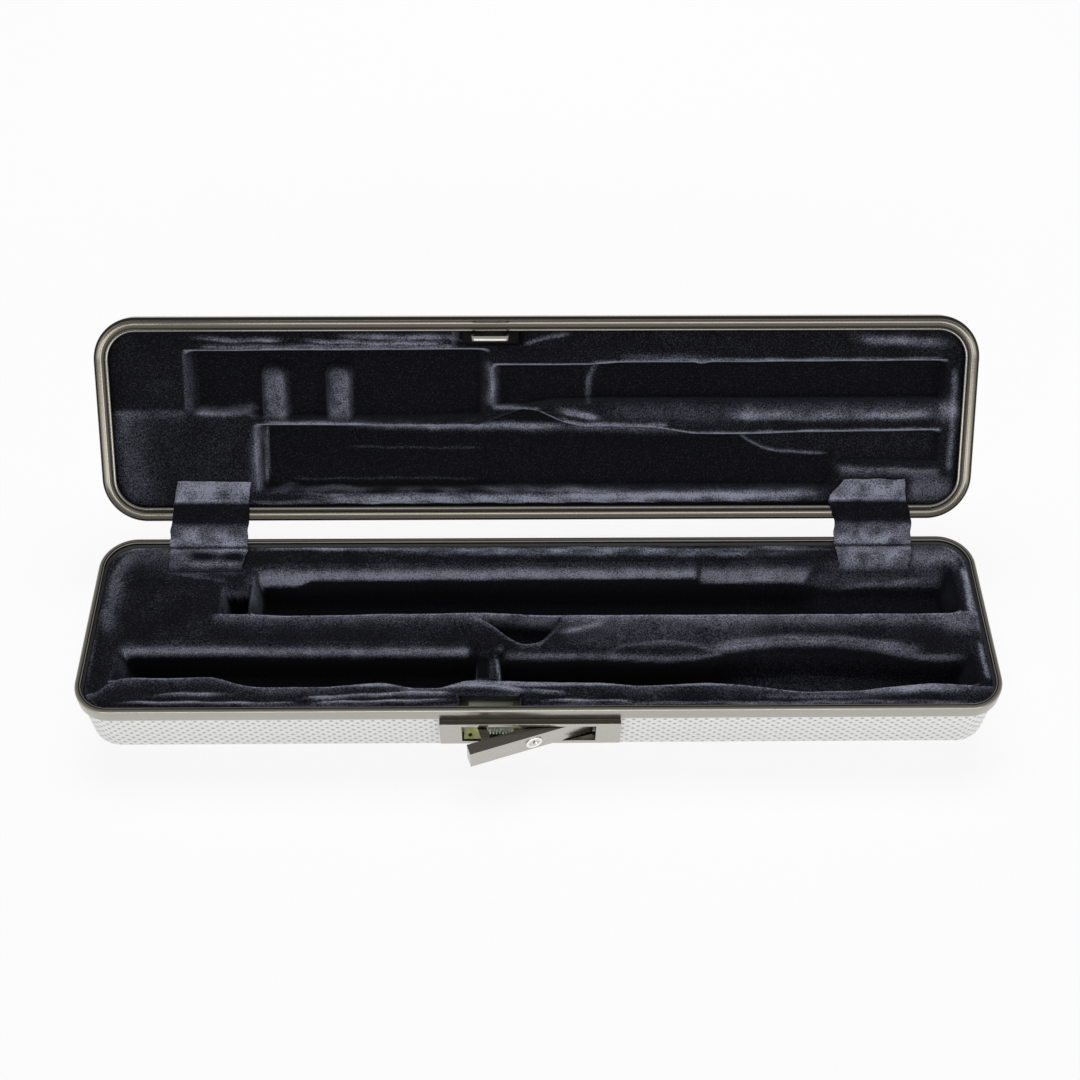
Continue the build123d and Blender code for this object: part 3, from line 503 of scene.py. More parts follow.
def trough(across, up, left, right, front, rear, slopes):
    """How far into a trough each position is, from 0 on its edge to 1 on its floor. Slopes are
    the plan widths of its left, right, front and rear walls."""
    in_left = (across - left) / slopes[0]
    in_right = (right - across) / slopes[1]
    in_front = (up - front) / slopes[2]
    in_rear = (rear - up) / slopes[3]
    sides = [ease(side) for side in (in_left, in_right, in_front, in_rear)]
    return sides[0] * sides[1] * sides[2] * sides[3]


def soft_noise(across, up, size, seed):
    """Smooth uneven waves about size millimetres long, from -1 to 1."""
    waves = np.random.default_rng(seed)
    total = np.zeros_like(across)
    for _ in range(14):
        angle, phase = waves.uniform(0, 2 * np.pi, 2)
        length = size * waves.uniform(0.7, 1.6)
        total += np.sin((across * np.cos(angle) + up * np.sin(angle)) * 2 * np.pi / length + phase)
    return total / 5.3


def rolled_edge(depth, roll):
    """The drop of the lining's edge where it rolls down to the rim."""
    inside = np.clip(depth, 0, roll)
    return roll - np.sqrt(np.maximum(roll ** 2 - (roll - inside) ** 2, 0))


def stroke(along, across, path, width, strength=1.0, ends=6.0):
    """A soft fold or brushed streak down a path of points given along one axis; its width may
    differ below and above the path."""
    at = [point[0] for point in path]
    middle = np.interp(along, at, [point[1] for point in path]) + 0.22 * np.sin(along / 3.7 + at[0])
    low, high = width if isinstance(width, tuple) else (width, width)
    fade = ease((along - at[0]) / ends) * ease((at[-1] - along) / ends)
    return strength * fade * np.exp(-((across - middle) / np.where(across < middle, low, high)) ** 2)


def strokes(along, across, table):
    """The sum of several strokes, one to a row: path, width, strength and how it fades at its ends."""
    return sum(stroke(along, across, *row) for row in table)


def tilt_of(across, up, heights):
    """Grids of which way a pad's face is turned: its unit normal's x, y and z, and how much of its
    slope falls to the left and to the right."""
    points = np.stack([across, up, heights], -1)
    along = np.gradient(points, axis=1)
    over = np.gradient(points, axis=0)
    normals = np.cross(along, over)
    normals /= np.maximum(np.linalg.norm(normals, axis=-1, keepdims=True), 1e-9)
    x, y, z = normals[..., 0], normals[..., 1], normals[..., 2]
    slope = np.hypot(x, y) + 1e-6
    return x, y, z, np.clip(-x / slope, 0, 1), np.clip(x / slope, 0, 1)


def velvet_block(name, across, up, heights, bottom, nap_and_light, material):
    """A closed pad: the velvet face, its sides and a flat underside. Its stored value mixes how the pile lies
    with painted light and shade, from 0, upright and dark or in painted shade, to 1, laid over and pale or in
    a painted highlight."""
    rows, columns = across.shape
    face = np.column_stack([across.ravel(), up.ravel(), heights.ravel()])
    grid = np.arange(rows * columns).reshape(rows, columns)
    quads = np.stack([grid[:-1, :-1], grid[:-1, 1:], grid[1:, 1:], grid[1:, :-1]], -1).reshape(-1, 4)
    border = np.concatenate([grid[0, :-1], grid[:-1, -1], grid[-1, :0:-1], grid[:0:-1, 0]])
    skirt = face[border].copy()
    skirt[:, 2] = bottom
    base, count = len(face), len(border)
    sides = [(border[k], base + k, base + (k + 1) % count, border[(k + 1) % count]) for k in range(count)]
    under = tuple(base + k for k in range(count))[::-1]
    piece = mesh_piece(name, np.vstack([face, skirt]), list(map(tuple, quads)) + sides + [under], material)
    lay_nap_and_light(piece, np.concatenate([np.clip(nap_and_light, 0, 1).ravel(), np.zeros(count)]))
    return piece


def lay_nap_and_light(piece, values):
    """Stores on each point how far the pile is laid over, mixed with painted light and shade."""
    attribute = piece.data.attributes.new("nap_and_light", "FLOAT", "POINT")
    attribute.data.foreach_set("value", np.asarray(values, np.float32))


def velvet(name, upright, laid, sheen_tint):
    """Short-pile velvet coloured by its stored value: dark where the pile stands up and in painted shade,
    pale where it is laid over and in painted highlights, with a fine sparkle of pile ends and a sheen at a
    glance."""
    material, tree, shader = fresh_material(name, upright, 0.9)
    shader.inputs["Specular IOR Level"].default_value = 0.1
    shader.inputs["Sheen Weight"].default_value = 0.30
    shader.inputs["Sheen Roughness"].default_value = 0.3
    shader.inputs["Sheen Tint"].default_value = (*sheen_tint, 1)
    lie_and_light = tree.nodes.new("ShaderNodeAttribute")
    lie_and_light.attribute_name = "nap_and_light"
    pile = noise_node(tree, 0.65, 2.0)
    cloud = noise_node(tree, 7.0, 4.0)
    sparkle = math_node(tree, "MULTIPLY_ADD", pile, 2.4, -0.2)
    stray = math_node(tree, "MULTIPLY_ADD", pile, 0.44, -0.22)
    patch = math_node(tree, "MULTIPLY_ADD", cloud, 1.2, 0.4)
    lit = math_node(tree, "MULTIPLY", lie_and_light.outputs["Fac"], math_node(tree, "MULTIPLY", sparkle, patch))
    lit = math_node(tree, "ADD", lit, stray)
    # The darkest stop is painted shade, for the floors deep in the troughs.
    deep = tuple(c * 0.30 for c in upright)
    middle = tuple(a + 0.22 * (b - a) for a, b in zip(upright, laid))
    colour_by(tree, lit, [(0.0, deep), (0.08, upright), (0.36, middle), (1.0, laid)])
    bump_node(tree, pile, 0.22, shader, 0.9)
    return material


velvet_cloth = velvet("navy_velvet", (0.0075, 0.0078, 0.0112), (0.30, 0.315, 0.395), (0.60, 0.63, 0.78))
bx, by = velvet_plan(base_corner - lining_edge, 1.1, 0.5)
wobble = 0.5 * soft_noise(bx, by, 30, 3)

# The troughs of the body, foot and head joints, with the divider and the scoop between them.
body_rear = line_through(bx, [(-150, 28), (-140, 34), (-134, 38), (80, 38.5), (128, 38.5), (138, 37.5),
                              (205, 37)])
body_front = line_through(bx, [(-210, 6.0), (-120, 6.0), (-28, 7.0), (10, 5.2), (30, 5.8), (205, 5.5)])
body = trough(bx, by + 0.5 * wobble, -137.5, 203.0, body_front, body_rear, (3.5, 8.0, 3.0, 15.0))
body_depth = line_through(bx, [(-210, 22.0), (126, 22.0), (136, 14.5), (210, 14.5)], 2.0)
neck = trough(bx, by, -152.0, -138.5, body_front, line_through(bx, [(-155, 20), (-146, 23.5), (-130, 26)]),
              (3.5, 2.5, 3.0, 3.0))
foot_front = line_through(bx, [(-203, -38), (-197, -31), (-190, -29.5), (-150, -29.5), (-138, -33.5),
                               (-128, -35), (-100, -35), (-85, -33.5), (-73, -32), (-66, -34), (-60, -36),
                               (-44, -36.2), (-37, -31.5), (-28, -30.3), (0, -31.0)])
foot = trough(bx, by + 0.4 * wobble, -199.5, -28.0, foot_front, -8.0, (10.0, 3.0, 3.0, 9.0))
head_front = line_through(bx, [(-30, -31), (-18, -31.5), (30, -33), (45, -35.2), (60, -34.6), (77, -33),
                               (95, -35.5), (122, -38.8), (148, -38.8), (165, -36.2), (180, -34.5),
                               (200, -36), (210, -36)])
head_rear = line_through(bx, [(-30, -12.0), (30, -13), (60, -14.5), (76, -14.0), (92, -11), (110, -8.5),
                              (140, -8.5), (165, -12), (180, -14), (210, -14)])
head = trough(bx, by + 0.4 * wobble, -20.0, 204.0, head_front, head_rear, (3.0, 9.0, 3.0, 10.0))
head_depth = line_through(bx, [(-30, 20.5), (60, 20.5), (85, 18.5), (160, 17.5), (210, 18.5)], 6)
divider = trough(bx, by, -33.0, -14.5, -30.0, -9.5, (4.0, 4.0, 4.0, 4.0))
scoop_front = line_through(bx, [(-40, 5), (-30, 5), (-22, -0.5), (-14, -8), (-8, -11.5), (0, -10.5),
                                (5, -5), (9, 1), (14, 4)], 1.6)
scoop = trough(bx, by, -30.0, 11.0, scoop_front, 5.6, (4.0, 5.0, 4.0, 1.6))

# The pad's top, with the crown of its middle ridge and the folds along its edges.
top = base_lining_top - 0.35 + 0.35 * soft_noise(bx, by, 38, 5)
mid_ridge = trough(bx, by, -140, 203, -36.0, 12.0, (10, 8, 6, 3))
crown = line_through(bx, [(-210, 0), (-140, 0), (-120, 1.2), (200, 1.6), (210, 0)], 8)
level = top - crown * mid_ridge
front_folds = strokes(bx, by, (
    ([(-186, -39.6), (-160, -38.6), (-134, -38.8)], 0.9, 0.8, 22.0),
    ([(-200, -42.9), (-150, -43.4), (-100, -43.8)], 0.6, 1.0, 26.0),
    ([(-114, -41.4), (-88, -40.2), (-70, -39.0), (-54, -38.6), (-34, -38.9)], 0.9, 1.0, 16.0),
    ([(-112, -43.6), (-70, -43.0), (-34, -42.4)], 0.7, 1.0, 22.0),
    ([(-48, -35.8), (-34, -34.6), (-20, -35.6), (-2, -38.4)], 1.1, 1.0, 10.0),
    ([(-8, -36.6), (16, -39.6)], 1.0, 0.9, 9.0), ([(-8, -42.6), (52, -43.8)], 0.7, 0.9, 22.0),
    ([(30, -44.6), (202, -44.4)], 0.6, 1.0, 26.0),
    ([(86, -41), (158, -41.8)], 0.9, 0.4, 28.0),
    ([(142, -39.2), (174, -37.2), (204, -37.6)], 1.9, 1.0, 24.0)))
rear_folds = strokes(bx, by, (
    ([(-124, 45.0), (-60, 44.4), (40, 44.0), (156, 43.6)], 0.9, 0.9, 30.0),
    ([(-96, 43.6), (-20, 42.4), (60, 41.8), (152, 41.0)], 1.7, 1.0, 80.0),
    ([(-146, 45.4), (-50, 45.6)], 0.6, 0.8, 30.0)))
level = level + 0.40 * front_folds + 0.25 * rear_folds

# Its face, with every trough and the latch's slot pressed in and its edge rolled down.
heights = level.copy()
for share, depth in ((body, body_depth), (neck, 21.0), (foot, 21.0), (head, head_depth), (divider, 8.0),
                     (scoop, 12.0)):
    heights = np.minimum(heights, level - depth * share)
slot_cut = trough(bx, by, -37.6, -8.4, -60.0, -38.4, (1.5, 1.5, 2.0, 1.5))
heights = np.minimum(heights, level - 12.6 * slot_cut)
bump_in_body = stroke(bx, by, [(-138, 31.5), (-126, 30.5), (-110, 32.0)], (4.5, 3.5), 3.0, 5.0)
heights = heights + bump_in_body * ease(body * 6)
base_edge = lining_depth(bx, by, base_corner - lining_edge)
heights = heights - rolled_edge(base_edge, 1.4)

# How its pile lies, with painted light and shade: pale where a wall faces the front or the rear, partly laid
# pile and partly painted light, and dark on the floors of the troughs as painted shade.
tilt_x, tilt_y, tilt_z, turned_left, turned_right = tilt_of(bx, by, heights)
drop = level - heights
at_body, at_foot = by > 8, bx < -24
low_from = line_through(bx, [(-20, 3.4), (60, 3.4), (92, 0.9), (160, 0.9), (174, 3.0), (210, 3.6)])
rear_from = line_through(bx, [(-140, 8.8), (-118, 8.6), (-112, 6.4), (77, 6.2), (80, 9.2), (205, 9.2)], 1.0)
dark_from = np.where(at_body, rear_from, np.where(at_foot, 5.2, low_from))
fall = 1 - ease((drop - dark_from) / np.where(by > -5, 2.6, np.where(at_foot, 5.0, 3.0)))
rise = 0.08 + 0.92 * ease((drop - 0.2) / np.where(at_body, 6.0, np.where(at_foot, 5.6, 3.0)))
rise = np.maximum(rise, 0.8 * ease((bx - 72) / 22) * ease((188 - bx) / 22) * (by < -5))
rear_wall = np.where(at_body, 0.90 - 0.20 * ease((bx - 79) / 3), np.where(at_foot, 0.74, 0.44))
nap_and_light = rear_wall * ease((-tilt_y - 0.10) / 0.55) * rise * fall
nap_and_light += 0.55 * ease((tilt_y - 0.03) / 0.35) * (1 - ease(drop / 4.0)) * (1 - 0.6 * (base_edge < 4))
nap_and_light += (np.where(bx < -180, 0.05, 0.10) * turned_right * ease((1 - tilt_z) / 0.2)
        * (1 - ease((drop - 6) / 8)))
nap_and_light += 0.42 * stroke(bx, by - head_rear, [(70, 0.6), (92, 0.4), (165, 0.4), (186, 0.6)], (1.8, 2.0),
                     1.0, 22.0)
nap_and_light *= 1 - 0.85 * np.exp(-((bx - 78.5) / 1.6) ** 2) * (by > 10)
nap_and_light *= 1 - 0.75 * ease((bx - 129 - 1.0 * (by - 31)) / 4) * (by > 10) * (by < 40)
nap_and_light *= 1 - 0.55 * ease((-137.5 - bx) / 1.5) * at_body * (bx > -152)
nap_and_light *= 1 - 0.88 * ease((bx + 35) / 3) * ease((-18 - bx) / 2.5) * ease((by + 33) / 3) * ease((-6 - by) / 5)
on_ridge = (by < body_front + 0.5) * ease((by + 15.5) / 7) * ease((bx + 158) / 10)
in_scoop = ease(scoop * 2.5)
nap_and_light += 0.60 * np.exp(-np.clip(body_front - by, 0, 60) / 3.4) * on_ridge * (1 - 0.85 * in_scoop)
nap_and_light += (in_scoop * (0.24 * (1 - ease((drop - 2) / 13))
                    + 0.40 * np.exp(-((body_front - by - 0.2) / 0.9) ** 2)))
nap_and_light += 0.15 * on_ridge * ease((bx - 4) / 18) * ease((126 - bx) / 44)
nap_and_light += 0.14 * on_ridge * ease((bx - 60) / 24) * np.exp(-((by - 1.8) / 2.6) ** 2)
scoop_lip = [(-34, 6), (-22, -0.7), (-14, -8.2), (-8, -11.8), (0, -10.9), (5, -5.6), (11, 2)]
nap_and_light += 0.26 * stroke(bx, by, scoop_lip, 1.2, 1.0, 5.0)

# Streaks brushed into the pile, partly painted highlights, those along the case first, then those across it.
nap_and_light += strokes(bx, by, (
    ([(6, -4.6), (18, -2.0), (34, 2.0)], 1.5, 0.60, 11.0),
    ([(28, -18.0), (40, -12.0), (56, -9.8), (72, -11.0), (88, -16.5)], 1.2, 0.20, 14.0),
    ([(-182, 31.6), (-165, 28.4), (-147, 23.6)], (0.8, 2.6), 0.15, 10.0),
    ([(-176, 33.5), (-138, 32.0)], 2.4, 0.20, 12.0),
    ([(-208, 43.5), (-190, 42.5), (-170, 44.0)], (8.0, 4.0), 0.20, 12.0),
    ([(181, 39.5), (208, 38.5)], 5.5, 0.42, 5.0),
    ([(134, 27.2), (165, 28.6), (200, 29.8)], (0.6, 0.8), 0.26, 20.0),
    ([(134, 34.4), (198, 34.6)], 2.6, 0.12, 14.0),
    ([(188, -1), (214, -3)], 4.2, 0.34, 12.0), ([(-142, 34), (-134, 32), (-112, 33)], 2.0, 0.15)))
nap_and_light += strokes(by, bx, (
    ([(-10, -203.5), (8, -206.0), (30, -205.0), (48, -199)], (2.0, 5.0), 0.26, 14.0),
    ([(5, -150.6), (26, -151.4)], 1.4, 0.16, 8.0),
    ([(8, -136.6), (22, -137.0), (34, -140.0)], (3.4, 1.6), 0.17, 10.0),
    ([(-32, -192.0), (-12, -196.5)], 2.4, 0.16, 8.0),
    ([(-30, -18.4), (-10, -20.6)], 0.8, 0.66, 6.0), ([(-30, -22.6), (-9, -22.4)], 1.3, 0.20, 8.0),
    ([(2, 206.6), (34, 207.4)], 1.4, 0.75, 5.0), ([(-34, 207.4), (-9, 207.0)], 1.1, 0.55, 5.0)))

# Painted highlights where folds and edges catch the light, and painted shade on deep floors and on walls that
# face the left.
broken = 0.72 + 0.28 * soft_noise(bx * 0.6, by * 1.6, 14, 36)
nap_and_light += (0.62 * front_folds + 0.46 * rear_folds) * broken
front_edge = np.where(at_foot, foot_front, head_front)
nap_and_light += 0.34 * np.exp(-np.clip(front_edge - by, 0, 60) / 2.2) * (by < front_edge)
nap_and_light += 0.30 * ease((1.6 - np.abs(base_edge - 1.3)) / 1.6) * ease((0.5 + soft_noise(bx, by, 60, 31)) / 1.4)
on_top = 1 - ease((drop - 1.0) / 3.0)
nap_and_light += on_top * (0.045 + 0.030 * soft_noise(bx, by, 26, 32))
low_right = ease((bx - 72) / 26) * (by < 0)
nap_and_light += (drop > 6) * (0.045 * ease((bx - 80) / 30) + low_right * 0.07 * ease((drop - 7) / 9))
nap_and_light *= (1 - 0.92 * ease((drop - 9.0) / 4.0) * (1 - 0.5 * ease((bx - 80) / 30)) * (1 - 0.8 * low_right)
        * (1 - 0.7 * in_scoop))
nap_and_light *= 1 - 0.88 * turned_left * ease((1 - tilt_z) / 0.15)
nap_and_light *= 1 - 0.24 * on_ridge * (1 - ease((drop - 2.0) / 2.0))

base_lining = velvet_block("base_velvet", bx, by, heights, base_lining_bottom, nap_and_light, velvet_cloth)
cut_away(base_lining, *housing_recess)
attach(base_lining, "base")
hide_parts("base_lining")

# ---------------------------------------------------------------- Lid shell
# The upper half of the case in the same woven plastic, a little shallower and rounder. It hangs
# on the two hinges and is shown thrown back.
open_angle = math.radians(127.45)
hinge_y, hinge_z = 54.5, 37.5
lid_height, lid_corner, lid_edge_radius = 24.7, 21.0, 8.0
lid_face = 37.3
lid_lip, lid_skirt = 1.6, 6.8
lid_steps = (320, 48, 28)
turn = Matrix.Rotation(-open_angle, 4, "X")
closed_to_open = (Matrix.Translation((0, hinge_y * MM, hinge_z * MM)) @ turn
                  @ Matrix.Translation((0, -hinge_y * MM, -hinge_z * MM)))


def lay_open(piece):
    """Moves a lid piece's mesh from its closed place to its open one."""
    piece.data.transform(closed_to_open)
    piece.data.update()


def turn_over(piece):
    """Turns a tray made open side up over its flat, so that its lip rests on the lid's face."""
    over = (Matrix.Translation((0, 0, (lid_face + lid_height) * MM)) @ Matrix.Rotation(math.pi, 4, "X"))
    piece.data.transform(over)


lid_shell = shell_tray("lid_skin", skin_material, lid_height - lid_lip, lid_height - lid_skirt, lid_corner,
                       lid_edge_radius, lid_steps)
turn_over(lid_shell)
lay_open(lid_shell)
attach(lid_shell, "lid")
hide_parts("lid_shell")

# ---------------------------------------------------------------- Lid rim
# A wider drawn edge of polished metal, the same nickel as the base's rim: a rounded outer bead, a broad
# hollow band, a fine groove and a narrow inner bead. Its face is painted near black as painted reflection,
# with paler painted reflections in bands; its outer skirt is satin nickel like the base's.
lid_rim_profile = [
    (1.2, 6.8), (0.25, 6.8), (0.05, 6.7), (0.0, 6.4), (0.0, 1.7), (0.1, 1.0), (0.4, 0.45), (0.85, 0.12),
    (1.4, 0.0), (1.9, 0.05), (2.5, 0.3), (3.2, 0.42), (4.0, 0.38), (4.7, 0.15), (5.1, 0.02), (5.35, 0.0),
    (5.45, 0.15), (5.5, 0.5), (5.8, 0.5), (5.85, 0.15), (5.95, 0.02), (6.3, 0.0), (6.7, 0.08), (7.05, 0.35),
    (7.2, 0.75), (7.2, 1.45), (7.1, 1.6), (1.2, 1.6),
]
# Painted reflection: the skirt keeps the nickel, the face turns near black, and the hollow and the inner bead
# carry paler bands.
lid_rim_metal = painted_band_metal("lid_rim_metal", [
    (-1.0, (0.46, 0.445, 0.40)), (-0.15, (0.36, 0.35, 0.31)), (0.0, (0.012, 0.011, 0.010)),
    (0.7, (0.020, 0.018, 0.016)), (1.5, (0.036, 0.033, 0.028)), (3.0, (0.145, 0.134, 0.112)),
    (4.6, (0.105, 0.096, 0.080)), (5.3, (0.018, 0.017, 0.015)), (5.9, (0.05, 0.047, 0.041)),
    (6.35, (0.20, 0.188, 0.164)), (6.8, (0.09, 0.084, 0.072)), (7.2, (0.016, 0.015, 0.013)),
], 0.16)
lid_rim = rim_sweep("lid_rim_band", [(inset, lid_face + z) for inset, z in lid_rim_profile], lid_corner,
                    lid_rim_metal)
mark_inset(lid_rim, lid_corner, lid_face, skirt_from=2.0)
lay_open(lid_rim)
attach(lid_rim, "lid")
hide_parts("lid_rim")

# ---------------------------------------------------------------- Lid lining
# The lid's velvet, over thinner foam: shallow recesses for the keys of each joint, two soft
# pads that press on the foot joint, and a pocket behind the strike.
lx, ly = velvet_plan(lid_corner - lining_edge, 1.1, 0.5)
lid_wobble = 0.5 * soft_noise(lx, ly, 28, 21)

# The recesses of the three joints, as shares of a depth behind the pad's face.
lid_body_rear = line_through(lx, [(-140, 35.5), (-134, 36.5), (140, 36.5), (146, 35), (149, 23.8),
                                  (205, 23.3)], 1.2)
lid_body_front = line_through(lx, [(-140, 2.0), (-60, 2.6), (-30, 2.8), (-8, -5.6), (0, -4.6), (6, -1.5),
                                   (12, 1.2), (22, 3.2), (58, 3.8), (66, 5.4), (75, 7), (96, 7.4),
                                   (140, 6.2), (205, 5.4)], 1.6)
lid_body = trough(lx, ly + 0.25 * lid_wobble, -138.5, 198.0, lid_body_front, lid_body_rear,
                  (5.0, 5.0, 2.4, 3.2))
lid_body_depth = line_through(lx, [(-150, 8.8), (-34, 8.8), (-28, 10.0), (118, 10.0), (135, 8.6),
                                   (205, 8.6)], 1.6)
scoop_line = np.interp(lx, [96, 105, 112, 120, 130, 140, 146], [7.5, 13, 16, 17.8, 18.4, 18.8, 17])
raised = ease((lx - 98) / 3) * ease((scoop_line - ly) / 2.0) + ease((lx - 143) / 4)
lid_body_depth = lid_body_depth - 2.2 * np.clip(raised, 0, 1) * (lx > 96)
lid_foot = trough(lx, ly + 0.2 * lid_wobble, -171.0, -22.0,
                  line_through(lx, [(-180, -34), (-30, -34.5), (-10, -34)]),
                  line_through(lx, [(-180, -3.0), (-141, -2.4), (-136, 1.6), (-60, 2.2), (-20, 0.5)]),
                  (5.5, 9.0, 2.0, 4.0))
lid_head_front = line_through(lx, [(-30, -26.8), (27, -27.0), (40, -28), (76, -28), (79, -27), (84, -28),
                                   (200, -28.6)], 1.2)
lid_head_rear = line_through(lx, [(-30, -5.0), (-6, -5.2), (8, -7.6), (200, -7.4)])
lid_head = trough(lx, ly + 0.2 * lid_wobble, -22.5, 199.0, lid_head_front, lid_head_rear,
                  (4.5, 4.0, 2.0, 2.6))
lid_head_depth = line_through(lx, [(-30, 7.0), (23, 7.0), (27, 9.6), (78, 9.6), (80, 8.4), (205, 8.4)], 0.9)

# The pad's face with its folds, then the recesses, the two pads, the pocket and the rolled edge.
lid_top_level = 0.35 * soft_noise(lx, ly, 40, 22) + 0.3
lid_folds = strokes(lx, ly, (
    ([(-172, -40.6), (-146, -38.8), (-112, -39.4)], 1.0, 0.9, 20.0),
    ([(-122, -38.8), (-72, -37.4), (-36, -37.6)], 0.8, 0.9, 22.0),
    ([(-100, -40.9), (-66, -39.8), (-36, -40.4)], 1.2, 1.0, 14.0),
    ([(-46, -41.6), (-33, -36.0)], 0.9, 0.7, 5.0),
    ([(-10, -35.4), (0, -38.8), (18, -42.0)], 0.9, 0.7, 8.0),
    ([(146, -39.4), (176, -37.6), (206, -35.8)], 2.3, 0.85, 20.0),
    ([(-138, 37.2), (-116, 34.8), (-60, 34.9), (60, 36.0)], 0.8, 0.6, 50.0),
    ([(-128, 36.9), (-90, 37.3), (-30, 37.0)], 0.5, 0.35, 20.0),
    ([(-152, 41.2), (-90, 41.0), (150, 40.6)], 0.9, 0.7, 20.0),
    ([(-120, 39.8), (0, 39.6), (60, 39.0), (150, 38.8)], 1.4, 1.0, 60.0),
    ([(86, -1.6), (130, -0.8), (201, -1.4)], 1.9, 0.8, 18.0),
    ([(6, -5.4), (17, -2.9), (34, 0.4)], 1.6, 1.1, 11.0)))
lid_level = lid_top_level - 0.30 * lid_folds
depths = lid_level.copy()
for share, depth in ((lid_body, lid_body_depth), (lid_foot, 9.8), (lid_head, lid_head_depth)):
    depths = np.maximum(depths, lid_level + depth * share)
pads = np.zeros_like(lx)
for middle in (-128.4, -97.2):
    reach = np.hypot(lx - middle, np.minimum(ly + 20.6, 0)) + 0.3 * lid_wobble
    pads += ease((7.6 - reach) / 3.6) * (ly < 4)
depths = depths - 6.5 * pads * lid_foot
pocket = trough(lx, ly, -41.0, -6.0, -60.0, -35.6, (3.0, 3.0, 1.0, 2.0))
depths = np.maximum(depths, lid_level + 4.2 * pocket)
lid_edge = lining_depth(lx, ly, lid_corner - lining_edge)
depths = depths + rolled_edge(lid_edge, 2.2) * 1.2

# How its pile lies, with painted light and shade: pale on the pads, the recesses' edges and the brushed
# streaks, partly painted highlights, and darker in painted shade on walls that face the left and along a few
# creases.
tilt_x, tilt_y, tilt_z, turned_left, turned_right = tilt_of(lx, ly, -depths)
drop = depths - lid_level
scoop_side = ease((lx + 33) / 4) * ease((3 - lx) / 4) * (ly < 3.4) * (ly > -8)
lid_nap_and_light = (1.1 * ease((tilt_y - 0.04) / 0.35) * (1 - ease((drop - 1.6) / 3.2)) * (lid_edge > 3)
           * (1 - 0.95 * scoop_side))
lid_nap_and_light += (np.where(lx < -150, 0.20, 0.32) * turned_right * ease((tilt_x - 0.08) / 0.5)
            * (1 - 0.8 * ease((drop - 2) / 6)) * (1 - pads))
lid_nap_and_light *= 1 - 0.9 * turned_left * ease((1 - tilt_z) / 0.15)
across_pad = np.where(lx < -112, lx + 128.4, lx + 97.2)
lid_nap_and_light += (pads * lid_foot * (0.36 + 0.030 * across_pad + 0.10 * soft_noise(lx, ly, 9, 35))
            * ease((ly + 29) / 10))
lid_nap_and_light += 0.70 * lid_folds * (0.72 + 0.28 * soft_noise(lx * 0.6, ly * 1.6, 14, 37))
lid_nap_and_light += strokes(lx, ly, (
    ([(-136, 1.6), (-94, 2.0), (-82, 3.6)], 0.9, 0.55, 7.0),
    ([(-104, 2.8), (-60, 4.2), (-20, 4.8), (18, 5.2)], (1.6, 1.9), 0.80, 34.0),
    ([(-24, 4.8), (14, 5.4), (84, 7.4)], (1.3, 2.2), 0.34, 26.0),
    ([(24, -27.7), (76, -28.7), (79, -27.9), (84, -28.7), (198, -28.9)], 0.7, 0.42, 6.0),
    ([(56, 5.2), (75, 7.0), (96, 7.3), (140, 6.2), (200, 5.4)], 0.7, 0.42, 8.0),
    ([(-170, -3.6), (-152, -3.0), (-134, -4.6)], (2.0, 1.4), 0.42, 8.0),
    ([(-210, -3.6), (-166, -4.0)], (1.2, 3.4), 0.16, 8.0),
    ([(-23, -5.8), (-8, -5.2), (2, -4.8)], 0.9, 0.55, 3.0),
    ([(8, -1.4), (15, 1.6), (24, 2.6), (66, 3.4)], (0.9, 0.7), 0.55, 7.0),
    ([(24, -3.0), (116, -2.6)], 4.5, 0.15, 24.0), ([(90, -4.0), (203, -4.0)], 3.2, 0.18, 16.0),
    ([(30, -29.8), (94, -29.6)], (1.8, 1.0), 0.20, 26.0),
    ([(96, 7.0), (105, 13.4), (112, 16.4), (120, 18.2), (130, 18.8), (146, 18.8)], (1.0, 0.6), 0.50, 9.0),
    ([(146, 25.0), (172, 25.6), (200, 27.0)], (1.2, 3.0), 0.34, 5.0),
    ([(180, 36.0), (208, 35.0)], 6.0, 0.36, 8.0),
    ([(193, -3.5), (208, -3.0)], 4.5, 0.42, 6.0), ([(-126, 31.2), (-60, 30.9), (-26, 31.6)], 0.6, 0.13, 12.0),
    ([(-98, 15.0), (-24, 16.0)], 0.6, 0.16, 12.0),
    ([(-138, 37.0), (-122, 34.2), (-84, 35.0)], (1.0, 1.6), 0.22, 16.0),
    ([(-124, 38.9), (-60, 38.4), (40, 38.0), (150, 37.5)], 1.6, 0.30, 24.0),
    ([(0, 37.8), (60, 38.0), (150, 37.3)], 2.0, 0.30, 30.0),
    ([(-128, 34.3), (-70, 34.2), (-16, 34.6)], 1.5, -0.22, 14.0),
    ([(-124, 42.1), (150, 41.5)], 0.9, -0.36, 20.0),
    ([(-166, -35.0), (-100, -35.4), (-34, -35.0)], (1.3, 0.7), 0.46, 10.0)))
lid_nap_and_light += strokes(ly, lx, (
    ([(2, -133.0), (34, -134.4)], 0.8, 0.55, 6.0), ([(-1, -136.2), (38, -138.6)], (2.8, 1.8), 0.30, 9.0),
    ([(-31, -24.4), (-18, -22.0), (-4, -23.6)], (2.6, 1.6), 0.42, 8.0),
    ([(-29, 29.6), (-20, 25.0), (-5, 24.2)], (1.0, 1.5), 0.40, 7.0),
    ([(-36, -169.4), (-1, -167.8)], (2.4, 1.4), 0.10, 9.0),
    ([(-10, -201), (20, -201.5), (46, -196)], (4.0, 9.0), 0.17, 14.0),
    ([(-26, 202.2), (28, 202.6)], 1.4, 0.42, 5.0)))
flat_lid = 1 - ease((drop - 1.0) / 3.0)
lid_nap_and_light *= 1 - 0.6 * np.exp(-((lx - 79.6) / 1.1) ** 2) * (ly < -7) * (ly > -27)
